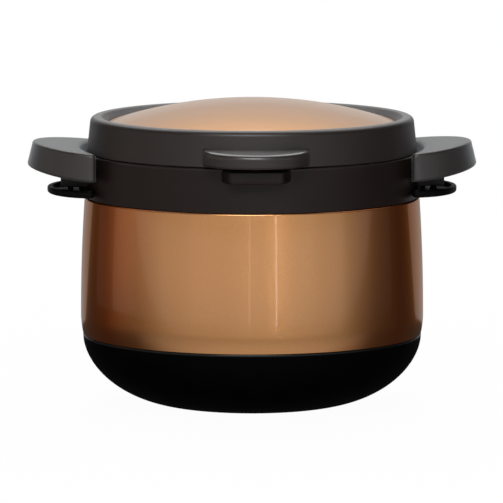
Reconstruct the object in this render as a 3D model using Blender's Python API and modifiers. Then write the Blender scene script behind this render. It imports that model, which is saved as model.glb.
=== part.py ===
"""Thermal cooker: a vacuum-walled vessel with two side grips, a lift-off outer lid, and a
cooking pot with its own glass lid inside.

Metres, +Z up, resting on z = 0 with the vessel's axis on the Z axis. The front is towards -Y
and the side grips point along +X and -X.
"""

import math

import bmesh
import bpy
from mathutils import Matrix, Vector

# Fits that every piece shares
SEAT_GAP = 0.0003
OVERRUN = 0.004

# Facets around the outer pieces, the inner ones and the small ones
OUTER_STEPS = 48
INNER_STEPS = 32
SMALL_STEPS = 16
SCREW_STEPS = 10
SHARP_ANGLE = math.radians(32)

# Radius of the vessel's mouth, which the walls, the collar, the lid and the pot follow
MOUTH_RADIUS = 0.1068

# Base cap, a black moulded bowl under the vessel
BASE_HEIGHT = 0.0505
BASE_WALL = 0.0025
BASE_CURVE_WIDTH = 0.0651
BASE_CURVE_POWER = 1.85
BASE_EDGE_FILLET = 0.0008
BASE_CURVE_POINTS = 9

# Foot ring, rubber, let into the underside of the base cap
FOOT_RING_SET_IN = 0.0076
FOOT_RING_WIDTH = 0.0080
FOOT_RING_PROUD = 0.0010
FOOT_GROOVE_DEPTH = 0.0020

# Outer shell, steel with a copper-coloured coat
SHELL_SHOULDER = 0.0050
SHELL_BOW = 0.0028
SHELL_TUCK = 0.0015
SHELL_TOP_HEIGHT = 0.1469
SHELL_WIDEST_RISE = 0.0135
SHELL_FILLET = 0.0010
SHELL_WALL = 0.0010
SHELL_CURVE_POINTS = 3
NECK_HEIGHT = 0.0247

# Vacuum space between the shell and the liner, with what seals and keeps it
NECK_VACUUM_GAP = 0.0034
FLOOR_VACUUM_GAP = 0.0144
SEAL_CAP_RADIUS = 0.0090
SEAL_CAP_THICKNESS = 0.0012
GETTER_RADIUS = 0.0060
GETTER_THICKNESS = 0.0030

# Inner liner, plain steel
LINER_SET_BACK = 0.0004
LINER_WALL = 0.0008
LINER_CORNER = 0.0340
LINER_LIP = 0.0047
LINER_CORNER_POINTS = 5

# Collar, moulded plastic around the mouth, with its seal
COLLAR_SET_IN = 0.0006
COLLAR_DRAFT = 0.0011
COLLAR_FLANGE = 0.0027
COLLAR_FILLET = 0.0009
COLLAR_SEAL_WIDTH = 0.0038
COLLAR_SEAL_THICKNESS = 0.0020

# Lug under each tab of the lid, part of the collar
LUG_BASE_WIDTH = 0.0470
LUG_FACE_WIDTH = 0.0360
LUG_REACH = 0.0110
LUG_HEIGHT = 0.0088
LUG_DROP = 0.0010
LUG_FILLET = 0.0016

# Side grips, and the neck of the collar that carries each
GRIP_LENGTH = 0.0367
GRIP_HALF_WIDTH = 0.0550
GRIP_ROOT_SINK = 0.0031
GRIP_WALL_GAP = 0.0040
GRIP_FLARE = 0.0032
GRIP_ABOVE_SEAM = 0.0038
GRIP_TOP_SLOPE = 0.112
GRIP_THICKNESS = 0.0199
GRIP_BOTTOM_SLOPE = 0.100
GRIP_BOTTOM_RISE = 0.0025
GRIP_FILLET = 0.0022
GRIP_CORNER = 0.0030
GRIP_STATIONS = 9
NECK_BLOCK_LENGTH = 0.0132
NECK_BLOCK_WIDTH = 0.0320
NECK_BLOCK_SINK = 0.0100

# Guard plate under each grip, a shallow tray with a raised rim
GUARD_TIP_SET_BACK = 0.0141
GUARD_SIDE_SET_BACK = 0.0120
GUARD_ROOT_SINK = 0.0019
GUARD_WALL_GAP = 0.0036
GUARD_ABOVE_SHELL = 0.0028
GUARD_HEIGHT = 0.0048
GUARD_RIM = 0.0034
GUARD_FLOOR = 0.0020
GUARD_FILLET = 0.0014

# Screws that clamp guard plate, neck and grip together
GRIP_SCREW_PITCH = 0.0180
GRIP_SCREW_SET_OUT = 0.0064
GRIP_SCREW_RADIUS = 0.0019
GRIP_SCREW_HEAD_RADIUS = 0.0036
GRIP_SCREW_HEAD = 0.0022
GRIP_SCREW_BITE = 0.0070

# Outer lid's ring
LID_RING_HEIGHT = 0.0248
LID_SET_IN = 0.0001
LID_DRAFT = 0.0022
LID_SHOULDER = 0.0040
LID_SHOULDER_POINTS = 4
LID_CREST_SET_IN = 0.0040
LID_LAND = 0.0036
LID_CROWN = 0.0050
LID_WALL = 0.0026
LID_FILLET = 0.0007
LID_LEDGE_WIDTH = 0.0080
LID_WEB = 0.0022

# Tab on the lid ring, front and rear
TAB_LENGTH = 0.0254
TAB_HALF_WIDTH = 0.0368
TAB_ELLIPSE_DEPTH = 0.0290
TAB_THICKNESS = 0.0110
TAB_ABOVE_SEAM = 0.0014
TAB_FILLET = 0.0020

# Facets of a rounded outline that sticks out, along its rim and its root
LOBE_STEPS = 14
LOBE_ROOT_STEPS = 8

# Dome, a pressed metal sheet set into the ring
DOME_CURVE_RADIUS = 0.3220
DOME_SET_IN = 0.0050
DOME_DROP = 0.0044
DOME_SHEET = 0.0008
DOME_POINTS = 7

# Lid liner, the moulded underside, with its plug and seal
LID_LINER_WALL = 0.0022
LID_FLANGE = 0.0026
LID_FLANGE_LIFT = 0.0004
LID_FLANGE_CLEARANCE = 0.0012
LID_CEILING = 0.0060
PLUG_DEPTH = 0.0018
LID_SEAL_WIDTH = 0.0011
LID_SEAL_CLEARANCE = 0.0004
KNOB_WELL_RADIUS = 0.0440
KNOB_WELL_RISE = 0.0100
KNOB_WELL_SLANT = 0.0040
FOAM_CLEARANCE = 0.0006
FOAM_POINTS = 4

# Screws that hold the lid liner to the ring
LID_SCREW_SET_OUT = 0.0030
LID_SCREW_COUNT = 3
LID_SCREW_TURN = math.radians(30)
LID_SCREW_RADIUS = 0.0013
LID_SCREW_HEAD_RADIUS = 0.0025
LID_SCREW_HEAD = 0.0012
LID_SCREW_BITE = 0.0100
LID_BOSS_RADIUS = 0.0025

# Cooking pot with a clad disc under it
POT_CLEARANCE = 0.0122
POT_RIM_DROP = 0.0270
POT_WALL = 0.0010
POT_CORNER = 0.0220
POT_RIM_WIDTH = 0.0020
POT_RIM_THICKNESS = 0.0014
POT_CORNER_POINTS = 4
DISC_SET_IN = 0.0230
DISC_THICKNESS = 0.0047
DISC_CHAMFER = 0.0008

# Folding wire handles of the pot and the brackets that hold them
HANDLE_WIRE_RADIUS = 0.0020
HANDLE_HALF_WIDTH = 0.0255
HANDLE_HEIGHT = 0.0172
HANDLE_BEND = 0.0055
HANDLE_BEND_POINTS = 4
HANDLE_END = 0.0030
HANDLE_PLAY = 0.0003
PIVOT_ABOVE_RIM = 0.0050
PIVOT_OUTSIDE_POT = 0.0055
BARREL_WALL = 0.0011
BARREL_LENGTH = 0.0300
BRACKET_PLATE = 0.0015
BRACKET_WIDTH = 0.0340
BRACKET_HEIGHT = 0.0200
BRACKET_DROP = 0.0045
BRACKET_WEB_WIDTH = 0.0200
BRACKET_WEB_DROP = 0.0070

# Glass lid of the pot, with its steel band
BAND_WALL = 0.0008
BAND_INSET = 0.0010
BAND_FLANGE = 0.0055
BAND_LIP = 0.0037
GLASS_THICKNESS = 0.0031
GLASS_RISE = 0.0105
GLASS_FLAT = 0.0040
GLASS_HOLE_RADIUS = 0.0034
GLASS_POINTS = 4

# Knob of the glass lid, with its screw, washer and seal
KNOB_RADIUS = 0.0195
KNOB_WAIST_RADIUS = 0.0095
KNOB_FOOT_RADIUS = 0.0110
KNOB_HEIGHT = 0.0215
KNOB_WAIST_TOP = 0.0077
KNOB_WAIST_LOW = 0.0039
KNOB_HEAD_SHARES = ((0.55, 0.985), (0.85, 0.93), (1, 0.80), (0.94, 0.68))
KNOB_SEAL_THICKNESS = 0.0010
KNOB_WASHER_RADIUS = 0.0080
KNOB_WASHER_THICKNESS = 0.0008
KNOB_SCREW_RADIUS = 0.0021
KNOB_SCREW_HEAD_RADIUS = 0.0045
KNOB_SCREW_HEAD = 0.0024
KNOB_SCREW_BITE = 0.0095

# Heights that follow from the sizes above, from the floor up
SHELL_WIDEST_HEIGHT = BASE_HEIGHT + SHELL_WIDEST_RISE
BASE_SEAT = FOOT_RING_PROUD + FOOT_GROOVE_DEPTH + BASE_WALL
SHELL_BOTTOM = BASE_SEAT + SEAT_GAP
LINER_FLOOR = SHELL_BOTTOM + SHELL_WALL + FLOOR_VACUUM_GAP + LINER_WALL
NECK_TOP = SHELL_TOP_HEIGHT + NECK_HEIGHT
LIP_TOP = NECK_TOP + SEAT_GAP + LINER_WALL
COLLAR_SEAL_TOP = LIP_TOP + SEAT_GAP + COLLAR_SEAL_THICKNESS
COLLAR_SHELF = COLLAR_SEAL_TOP + SEAT_GAP
COLLAR_TOP = COLLAR_SHELF + COLLAR_FLANGE
LID_BOTTOM = COLLAR_TOP + SEAT_GAP
LID_CREST = LID_BOTTOM + LID_RING_HEIGHT
DOME_EDGE = LID_CREST - DOME_DROP
GRIP_BASE_TOP = LID_BOTTOM + GRIP_ABOVE_SEAM
NECK_BLOCK_TOP = GRIP_BASE_TOP - NECK_BLOCK_SINK
GUARD_BOTTOM = SHELL_TOP_HEIGHT + GUARD_ABOVE_SHELL
GUARD_TOP = GUARD_BOTTOM + GUARD_HEIGHT
FLANGE_BOTTOM = COLLAR_TOP + LID_FLANGE_LIFT
FLANGE_TOP = FLANGE_BOTTOM + LID_FLANGE
PLUG_BOTTOM = COLLAR_TOP - PLUG_DEPTH
CEILING = COLLAR_TOP + LID_CEILING
WELL_CEILING = CEILING + KNOB_WELL_RISE
POT_UNDERSIDE = LINER_FLOOR + DISC_THICKNESS + SEAT_GAP * 2
POT_FLOOR = POT_UNDERSIDE + POT_WALL
POT_RIM = COLLAR_TOP - POT_RIM_DROP
PIVOT_HEIGHT = POT_RIM + PIVOT_ABOVE_RIM
BAND_BOTTOM = POT_RIM + SEAT_GAP
GLASS_EDGE_BOTTOM = BAND_BOTTOM + BAND_WALL + SEAT_GAP
GLASS_EDGE_TOP = GLASS_EDGE_BOTTOM + GLASS_THICKNESS
GLASS_TOP = GLASS_EDGE_TOP + GLASS_RISE

# Radii that follow from the sizes above
LINER_RADIUS = MOUTH_RADIUS + LINER_SET_BACK
NECK_RADIUS = LINER_RADIUS + LINER_WALL + NECK_VACUUM_GAP + SHELL_WALL
SHELL_TOP_RADIUS = NECK_RADIUS + SHELL_SHOULDER
SHELL_RADIUS = SHELL_TOP_RADIUS + SHELL_BOW
SHELL_EDGE_RADIUS = SHELL_RADIUS - SHELL_TUCK
BASE_FOOT_RADIUS = SHELL_EDGE_RADIUS - BASE_CURVE_WIDTH
FOOT_RING_RADIUS = BASE_FOOT_RADIUS - FOOT_RING_SET_IN
COLLAR_BOTTOM_RADIUS = SHELL_TOP_RADIUS - COLLAR_SET_IN
COLLAR_TOP_RADIUS = COLLAR_BOTTOM_RADIUS - COLLAR_DRAFT
COLLAR_BORE = NECK_RADIUS + SEAT_GAP
COLLAR_ROOT = (COLLAR_BORE + COLLAR_TOP_RADIUS) / 2
GRIP_INNER_RADIUS = COLLAR_BOTTOM_RADIUS + GRIP_WALL_GAP
GRIP_TIP_REACH = GRIP_INNER_RADIUS + GRIP_LENGTH
GRIP_ROOT_REACH = math.sqrt(GRIP_INNER_RADIUS**2 - GRIP_HALF_WIDTH**2)
GRIP_ELLIPSE_DEPTH = GRIP_TIP_REACH - GRIP_ROOT_REACH + GRIP_ROOT_SINK
GRIP_SCREW_REACH = GRIP_INNER_RADIUS + GRIP_SCREW_SET_OUT
NECK_BLOCK_REACH = GRIP_INNER_RADIUS + NECK_BLOCK_LENGTH
GUARD_INNER_RADIUS = COLLAR_BOTTOM_RADIUS + GUARD_WALL_GAP
GUARD_TIP_REACH = GRIP_TIP_REACH - GUARD_TIP_SET_BACK
GUARD_HALF_WIDTH = GRIP_HALF_WIDTH - GUARD_SIDE_SET_BACK
GUARD_ROOT_REACH = math.sqrt(GUARD_INNER_RADIUS**2 - GUARD_HALF_WIDTH**2)
GUARD_ELLIPSE_DEPTH = GUARD_TIP_REACH - GUARD_ROOT_REACH + GUARD_ROOT_SINK
LID_BOTTOM_RADIUS = COLLAR_TOP_RADIUS - LID_SET_IN
LID_SHOULDER_RADIUS = LID_BOTTOM_RADIUS - LID_DRAFT
LID_CREST_RADIUS = LID_SHOULDER_RADIUS - LID_CREST_SET_IN
LID_LAND_RADIUS = LID_CREST_RADIUS - LID_LAND
LID_ROOT = LID_SHOULDER_RADIUS
TAB_TIP_REACH = LID_BOTTOM_RADIUS + TAB_LENGTH
DOME_RADIUS = LID_LAND_RADIUS - DOME_SET_IN
POT_RADIUS = LINER_RADIUS - POT_CLEARANCE
POT_RIM_RADIUS = POT_RADIUS + POT_RIM_WIDTH
DISC_RADIUS = POT_RADIUS - DISC_SET_IN
PIVOT_REACH = POT_RADIUS + PIVOT_OUTSIDE_POT
BAND_RADIUS = POT_RIM_RADIUS - BAND_INSET
GLASS_RADIUS = BAND_RADIUS - BAND_WALL - SEAT_GAP
BARREL_BORE = HANDLE_WIRE_RADIUS + HANDLE_PLAY
BARREL_RADIUS = BARREL_BORE + BARREL_WALL
LEDGE_RADIUS = DOME_RADIUS + SEAT_GAP
LEDGE_INNER = LEDGE_RADIUS - LID_LEDGE_WIDTH
PLUG_RADIUS = MOUTH_RADIUS - LID_SEAL_CLEARANCE - LID_SEAL_WIDTH - SEAT_GAP
LID_SCREW_CIRCLE = PLUG_RADIUS + LID_SCREW_SET_OUT
WELL_OUT = KNOB_WELL_RADIUS + KNOB_WELL_SLANT
SCREW_PLAY = SEAT_GAP
GRIP_HOLE_RADIUS = GRIP_SCREW_RADIUS + SCREW_PLAY

# Finishes: colour, roughness and metallic value
FINISHES = {
    "copper_coat": ((0.52, 0.24, 0.11, 1), 0.30, 0.9),
    "black_plastic": ((0.012, 0.012, 0.013, 1), 0.45, 0.0),
    "brown_black_plastic": ((0.030, 0.026, 0.024, 1), 0.40, 0.0),
    "steel": ((0.62, 0.61, 0.60, 1), 0.28, 1.0),
    "grey_rubber": ((0.16, 0.16, 0.17, 1), 0.80, 0.0),
    "black_rubber": ((0.02, 0.02, 0.02, 1), 0.85, 0.0),
    "white_foam": ((0.85, 0.85, 0.82, 1), 0.95, 0.0),
    "grey_plastic": ((0.20, 0.20, 0.21, 1), 0.50, 0.0),
    "aluminium": ((0.70, 0.70, 0.71, 1), 0.40, 1.0),
    "clear_glass": ((0.80, 0.88, 0.86, 1), 0.05, 0.0),
}


def clear_scene():
    for thing in list(bpy.data.objects):
        bpy.data.objects.remove(thing, do_unlink=True)


def new_collection(name, helper=False):
    collection = bpy.data.collections.new(name)
    collection.hide_render = helper
    bpy.context.scene.collection.children.link(collection)
    return collection


def finish_material(name):
    """The Principled material of one finish, made once."""
    if name in bpy.data.materials:
        return bpy.data.materials[name]
    colour, roughness, metallic = FINISHES[name]
    made = bpy.data.materials.new(name)
    made.use_nodes = True
    shader = made.node_tree.nodes["Principled BSDF"]
    shader.inputs["Base Color"].default_value = colour
    shader.inputs["Roughness"].default_value = roughness
    shader.inputs["Metallic"].default_value = metallic
    return made


def add_piece(name, data, finish=None):
    """An object for the part if it has a finish, or a hidden tool if it has none."""
    piece = bpy.data.objects.new(name, data)
    if finish is None:
        tools.objects.link(piece)
        piece.hide_render = True
        piece.display_type = "WIRE"
        return piece
    cooker.objects.link(piece)
    data.materials.append(finish_material(finish))
    return piece


def settle(piece):
    """Applies the piece's modifiers and shades it smooth between its sharp edges."""
    bpy.context.view_layer.update()
    graph = bpy.context.evaluated_depsgraph_get()
    mesh = bpy.data.meshes.new_from_object(piece.evaluated_get(graph))
    piece.modifiers.clear()
    piece.data = mesh
    mesh.name = piece.name
    mesh.shade_smooth()
    mesh.set_sharp_from_angle(angle=SHARP_ANGLE)
    return piece


def turned(name, path, steps, finish=None, loop=False, wall=0, outward=False):
    """A profile of (radius, height) points turned about Z. It runs down the outer side. A loop
    closes on itself, and a wall makes a sheet of the profile, inward or outward of it."""
    mesh = bpy.data.meshes.new(name)
    edges = [(i, i + 1) for i in range(len(path) - 1)]
    if loop:
        edges.append((len(path) - 1, 0))
    mesh.from_pydata([(r, 0, z) for r, z in path], edges, [])
    piece = add_piece(name, mesh, finish)
    turn = piece.modifiers.new("turn", "SCREW")
    turn.axis = "Z"
    turn.steps = steps
    turn.render_steps = steps
    turn.use_merge_vertices = True
    turn.merge_threshold = SEAT_GAP / 10
    if wall:
        sheet = piece.modifiers.new("wall", "SOLIDIFY")
        sheet.thickness = wall
        sheet.offset = 1 if outward else -1
        sheet.use_even_offset = True
    return piece


def plate(name, outline, low, high, finish=None):
    """A flat outline of (x, y) points, extruded from one height to another."""
    curve = bpy.data.curves.new(name, "CURVE")
    curve.dimensions = "2D"
    curve.fill_mode = "BOTH"
    curve.extrude = (high - low) / 2
    line = curve.splines.new("POLY")
    line.points.add(len(outline) - 1)
    line.use_cyclic_u = True
    for point, (x, y) in zip(line.points, outline):
        point.co = (x, y, 0, 1)
    drawn = bpy.data.objects.new(name + "_outline", curve)
    tools.objects.link(drawn)
    bpy.context.view_layer.update()
    graph = bpy.context.evaluated_depsgraph_get()
    mesh = bpy.data.meshes.new_from_object(drawn.evaluated_get(graph))
    bpy.data.objects.remove(drawn, do_unlink=True)
    work = bmesh.new()
    work.from_mesh(mesh)
    bmesh.ops.remove_doubles(work, verts=work.verts, dist=SEAT_GAP / 10)
    bmesh.ops.dissolve_limit(work, angle_limit=math.radians(1), verts=work.verts, edges=work.edges)
    bmesh.ops.translate(work, verts=work.verts, vec=(0, 0, (high + low) / 2))
    bmesh.ops.recalc_face_normals(work, faces=work.faces)
    work.to_mesh(mesh)
    work.free()
    mesh.materials.clear()
    return add_piece(name, mesh, finish)


def rod(name, radius, low, high, at=(0, 0), steps=SMALL_STEPS):
    """A plain upright cylinder, used as a tool."""
    mesh = bpy.data.meshes.new(name)
    work = bmesh.new()
    place = Matrix.Translation((at[0], at[1], (low + high) / 2))
    bmesh.ops.create_cone(
        work, cap_ends=True, segments=steps, radius1=radius, radius2=radius, depth=high - low, matrix=place
    )
    work.to_mesh(mesh)
    work.free()
    return add_piece(name, mesh)


def combine(piece, tool, operation):
    step = piece.modifiers.new(tool.name, "BOOLEAN")
    step.object = tool
    step.operation = operation
    step.solver = "EXACT"


def round_edges(piece, width, segments=2):
    bevel = piece.modifiers.new("rounding", "BEVEL")
    bevel.width = width
    bevel.segments = segments
    bevel.limit_method = "ANGLE"
    bevel.angle_limit = SHARP_ANGLE
    return bevel


def arc(centre_r, centre_z, radius, start, end, points):
    """Points on a circular arc in the (radius, height) plane, angles in degrees."""
    turns = [math.radians(start + (end - start) * i / (points - 1)) for i in range(points)]
    return [(centre_r + radius * math.cos(a), centre_z + radius * math.sin(a)) for a in turns]


def inset_path(path, distance):
    """The path moved inward by a distance, square to its own direction at each point."""
    moved = []
    for i, (r, z) in enumerate(path):
        before = Vector(path[max(i - 1, 0)])
        after = Vector(path[min(i + 1, len(path) - 1)])
        along = (after - before).normalized()
        moved.append((r + along.y * distance, z - along.x * distance))
    return moved


def root_arc(radius, half_width, steps=LOBE_ROOT_STEPS):
    """Points on a round wall about Z, from +Y to -Y, where something that sticks out along +X
    meets it."""
    span = math.asin(half_width / radius)
    turns = [span * (1 - 2 * i / steps) for i in range(steps + 1)]
    return [(radius * math.cos(a), radius * math.sin(a)) for a in turns]


def lobe(tip, half_width, depth, root_radius, shrink=0):
    """Half an ellipse that points along +X from a round body: its tip, its half width, its
    depth along X, and the radius of the body's wall where it ends."""
    centre = tip - depth
    across = half_width - shrink
    out = depth - shrink
    inner = root_radius + shrink
    angles = [math.pi * (i / LOBE_STEPS - 1 / 2) for i in range(LOBE_STEPS + 1)]
    rim = [(centre + out * math.cos(a), across * math.sin(a)) for a in angles]
    rim = [p for p in rim if math.hypot(*p) > inner + SEAT_GAP]
    return rim + root_arc(inner, rim[-1][1])


def turned_about_z(outline, degrees):
    a = math.radians(degrees)
    return [(x * math.cos(a) - y * math.sin(a), x * math.sin(a) + y * math.cos(a)) for x, y in outline]


def base_curve():
    """The bowl of the base cap from its edge to its flat foot, as a quarter superellipse."""
    across = SHELL_EDGE_RADIUS - BASE_FOOT_RADIUS
    top = BASE_HEIGHT - BASE_EDGE_FILLET
    power = 2 / BASE_CURVE_POWER
    points = []
    for i in range(BASE_CURVE_POINTS):
        a = math.pi / 2 * i / (BASE_CURVE_POINTS - 1)
        r = BASE_FOOT_RADIUS + across * max(math.cos(a), 0) ** power
        points.append((r, top - (top - FOOT_RING_PROUD) * math.sin(a) ** power))
    return points


def bowl(inset, floor):
    """The bowl's curve moved inward and cut off level at a floor, from the edge down. It has
    half as many points, so that a hidden face has fewer facets."""
    path = inset_path(base_curve()[::2], inset)
    above = [p for p in path if p[1] > floor]
    (r, z), (r_next, z_next) = above[-1], path[len(above)]
    share = (z - floor) / (z - z_next)
    return above + [(r + (r_next - r) * share, floor)]


def make_base():
    groove_out = FOOT_RING_RADIUS
    groove_in = FOOT_RING_RADIUS - FOOT_RING_WIDTH
    groove_top = FOOT_RING_PROUD + FOOT_GROOVE_DEPTH
    hub = groove_in - BASE_WALL
    wall = bowl(BASE_WALL, BASE_SEAT)
    path = [(0, FOOT_RING_PROUD + BASE_WALL), (hub, FOOT_RING_PROUD + BASE_WALL), (hub, BASE_SEAT)]
    path += wall[::-1]
    path += [(wall[0][0], BASE_HEIGHT), (SHELL_EDGE_RADIUS - BASE_EDGE_FILLET, BASE_HEIGHT)]
    path += base_curve()
    path += [
        (groove_out, FOOT_RING_PROUD),
        (groove_out, groove_top),
        (groove_in, groove_top),
        (groove_in, FOOT_RING_PROUD),
        (0, FOOT_RING_PROUD),
    ]
    settle(turned("base_cap", path, OUTER_STEPS, "black_plastic"))
    ring_top = groove_top - SEAT_GAP
    ring = [
        (groove_out - SEAT_GAP, ring_top),
        (groove_out - SEAT_GAP, 0),
        (groove_in + SEAT_GAP, 0),
        (groove_in + SEAT_GAP, ring_top),
    ]
    settle(turned("foot_ring", ring, OUTER_STEPS, "black_rubber", loop=True))


def make_shell():
    """Neck, shoulder and bowed wall, then a step in so that the base cap sits flush over it."""
    wall = SHELL_WALL
    edge = BASE_HEIGHT + SEAT_GAP
    inside = bowl(BASE_WALL + SEAT_GAP + wall, SHELL_BOTTOM + wall)
    outside = bowl(BASE_WALL + SEAT_GAP, SHELL_BOTTOM)
    path = [(0, SHELL_BOTTOM + wall)] + inside[:0:-1]
    path += [
        (inside[0][0], edge + wall),
        (SHELL_EDGE_RADIUS - wall, edge + wall),
        (SHELL_RADIUS - wall, SHELL_WIDEST_HEIGHT),
        (SHELL_TOP_RADIUS - wall, SHELL_TOP_HEIGHT - wall),
        (NECK_RADIUS - wall, SHELL_TOP_HEIGHT - wall),
        (NECK_RADIUS - wall, NECK_TOP),
        (NECK_RADIUS, NECK_TOP),
        (NECK_RADIUS, SHELL_TOP_HEIGHT),
    ]
    top = SHELL_TOP_HEIGHT - SHELL_FILLET
    path += arc(SHELL_TOP_RADIUS - SHELL_FILLET, top, SHELL_FILLET, 90, 0, 3)
    for i in range(1, SHELL_CURVE_POINTS):
        share = i / SHELL_CURVE_POINTS
        bow = (SHELL_RADIUS - SHELL_TOP_RADIUS) * (1 - share) ** 2
        path.append((SHELL_RADIUS - bow, top - (top - SHELL_WIDEST_HEIGHT) * share))
    path += [(SHELL_RADIUS, SHELL_WIDEST_HEIGHT), (SHELL_EDGE_RADIUS, edge), (outside[0][0], edge)]
    path += outside[1:] + [(0, SHELL_BOTTOM)]
    settle(turned("outer_shell", path, OUTER_STEPS, "copper_coat"))


def make_vacuum_fittings():
    """The disc over the pump-out hole, outside, and the getter on the shell's floor, inside."""
    top = SHELL_BOTTOM - SEAT_GAP
    low = top - SEAL_CAP_THICKNESS
    disc = [(0, top), (SEAL_CAP_RADIUS, top), (SEAL_CAP_RADIUS, low), (0, low)]
    settle(turned("vacuum_seal_cap", disc, SMALL_STEPS, "steel"))
    low = SHELL_BOTTOM + SHELL_WALL + SEAT_GAP
    top = low + GETTER_THICKNESS
    disc = [(0, top), (GETTER_RADIUS, top), (GETTER_RADIUS, low), (0, low)]
    settle(turned("getter", disc, SMALL_STEPS, "aluminium"))


def make_liner():
    corner_r = LINER_RADIUS - LINER_CORNER
    path = [(LINER_RADIUS + LINER_LIP, LIP_TOP), (LINER_RADIUS, LIP_TOP)]
    path += arc(corner_r, LINER_FLOOR + LINER_CORNER, LINER_CORNER, 0, -90, LINER_CORNER_POINTS)
    path += [(0, LINER_FLOOR)]
    settle(turned("inner_liner", path, INNER_STEPS, "steel", wall=LINER_WALL, outward=True))


def make_collar():
    """The ring itself, a lug at the front and the rear, and a neck block for each grip."""
    top_out = COLLAR_TOP_RADIUS
    bottom = SHELL_TOP_HEIGHT + SEAT_GAP
    path = [
        (top_out - COLLAR_FILLET, COLLAR_TOP),
        (top_out, COLLAR_TOP - COLLAR_FILLET),
        (COLLAR_BOTTOM_RADIUS, bottom),
        (COLLAR_BORE, bottom),
        (COLLAR_BORE, COLLAR_SHELF),
        (MOUTH_RADIUS, COLLAR_SHELF),
        (MOUTH_RADIUS, COLLAR_TOP - COLLAR_FILLET),
        (MOUTH_RADIUS + COLLAR_FILLET, COLLAR_TOP),
    ]
    collar = turned("collar", path, OUTER_STEPS, "brown_black_plastic", loop=True)
    face = COLLAR_BOTTOM_RADIUS + LUG_REACH
    lug_top = COLLAR_TOP - LUG_DROP
    lug = [(face, -LUG_FACE_WIDTH / 2), (face, LUG_FACE_WIDTH / 2)]
    lug += root_arc(COLLAR_ROOT, LUG_BASE_WIDTH / 2)
    for side, turn in (("front", -90), ("rear", 90)):
        tool = plate("lug_" + side, turned_about_z(lug, turn), lug_top - LUG_HEIGHT, lug_top)
        round_edges(tool, LUG_FILLET)
        combine(collar, tool, "UNION")
    block = [(NECK_BLOCK_REACH, -NECK_BLOCK_WIDTH / 2), (NECK_BLOCK_REACH, NECK_BLOCK_WIDTH / 2)]
    block += root_arc(COLLAR_ROOT, NECK_BLOCK_WIDTH / 2)
    for side, turn in (("left", 180), ("right", 0)):
        outline = turned_about_z(block, turn)
        tool = plate("neck_block_" + side, outline, GUARD_TOP + SEAT_GAP, NECK_BLOCK_TOP)
        combine(collar, tool, "UNION")
        for name, x, y in screw_places(side):
            hole = rod("neck_hole_" + name, GRIP_HOLE_RADIUS, GUARD_TOP, NECK_BLOCK_TOP + OVERRUN, (x, y))
            combine(collar, hole, "DIFFERENCE")
    settle(collar)
    seal_out = LINER_RADIUS + LINER_LIP
    seal = [
        (seal_out, COLLAR_SEAL_TOP),
        (seal_out, LIP_TOP + SEAT_GAP),
        (seal_out - COLLAR_SEAL_WIDTH, LIP_TOP + SEAT_GAP),
        (seal_out - COLLAR_SEAL_WIDTH, COLLAR_SEAL_TOP),
    ]
    settle(turned("collar_gasket", seal, INNER_STEPS, "grey_rubber", loop=True))


def screw_places(side):
    sign = -1 if side == "left" else 1
    for end, way in (("front", -1), ("rear", 1)):
        yield side + "_" + end, sign * GRIP_SCREW_REACH, way * GRIP_SCREW_PITCH / 2


def grip_top(x):
    return GRIP_BASE_TOP + GRIP_TOP_SLOPE * (x - COLLAR_TOP_RADIUS)


def grip_bottom(x):
    """A straight rise from the collar, and a steeper one as the share of the reach squares."""
    out = x - COLLAR_TOP_RADIUS
    share = out / (GRIP_TIP_REACH - COLLAR_TOP_RADIUS)
    return GRIP_BASE_TOP - GRIP_THICKNESS + GRIP_BOTTOM_SLOPE * out + GRIP_BOTTOM_RISE * share * abs(share)


def make_grip(side):
    """A slab lofted from its wider underside to its top, hollowed to clear the collar and the
    lid, with a socket for the neck block."""
    centre = GRIP_TIP_REACH - GRIP_ELLIPSE_DEPTH
    stations = [(centre * (1 - 1 / GRIP_STATIONS), GRIP_HALF_WIDTH, 0)]
    for i in range(GRIP_STATIONS):
        a = math.pi / 2 * (1 - i / (GRIP_STATIONS - 1 / 2))
        place = (centre + GRIP_ELLIPSE_DEPTH * math.cos(a), GRIP_HALF_WIDTH * math.sin(a))
        stations.append((*place, math.cos(a)))
    work = bmesh.new()
    rows = []
    for x, half, lean in stations:
        x_top = x - GRIP_FLARE * lean
        row = [(x, -half, grip_bottom(x)), (x, half, grip_bottom(x))]
        row += [(x_top, half, grip_top(x_top)), (x_top, -half, grip_top(x_top))]
        rows.append([work.verts.new(p) for p in row])
    for here, there in zip(rows, rows[1:]):
        for i in range(4):
            j = (i + 1) % 4
            work.faces.new((here[i], here[j], there[j], there[i]))
    work.faces.new(rows[0])
    work.faces.new(rows[-1])
    bmesh.ops.recalc_face_normals(work, faces=work.faces)
    mesh = bpy.data.meshes.new("grip_" + side)
    work.to_mesh(mesh)
    work.free()
    if side == "left":
        mesh.transform(Matrix.Rotation(math.pi, 4, "Z"))
    grip = add_piece("grip_" + side, mesh, "brown_black_plastic")
    low = GUARD_TOP
    high = LID_CREST
    hollow = rod("grip_hollow_" + side, GRIP_INNER_RADIUS, low, high, steps=OUTER_STEPS)
    combine(grip, hollow, "DIFFERENCE")
    settle(grip)
    round_upright_corners(grip, GRIP_CORNER)
    round_edges(grip, GRIP_FILLET, 3)
    reach = NECK_BLOCK_REACH + SEAT_GAP
    half = NECK_BLOCK_WIDTH / 2 + SEAT_GAP
    sign = -1 if side == "left" else 1
    socket = [(sign * COLLAR_TOP_RADIUS, -sign * half), (sign * reach, -sign * half)]
    socket += [(sign * reach, sign * half), (sign * COLLAR_TOP_RADIUS, sign * half)]
    tool = plate("grip_socket_" + side, socket, low, NECK_BLOCK_TOP + SEAT_GAP)
    combine(grip, tool, "DIFFERENCE")
    for name, x, y in screw_places(side):
        top = NECK_BLOCK_TOP + GRIP_SCREW_BITE + SEAT_GAP * 2
        combine(grip, rod("grip_hole_" + name, GRIP_HOLE_RADIUS, low, top, (x, y)), "DIFFERENCE")
    settle(grip)


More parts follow.
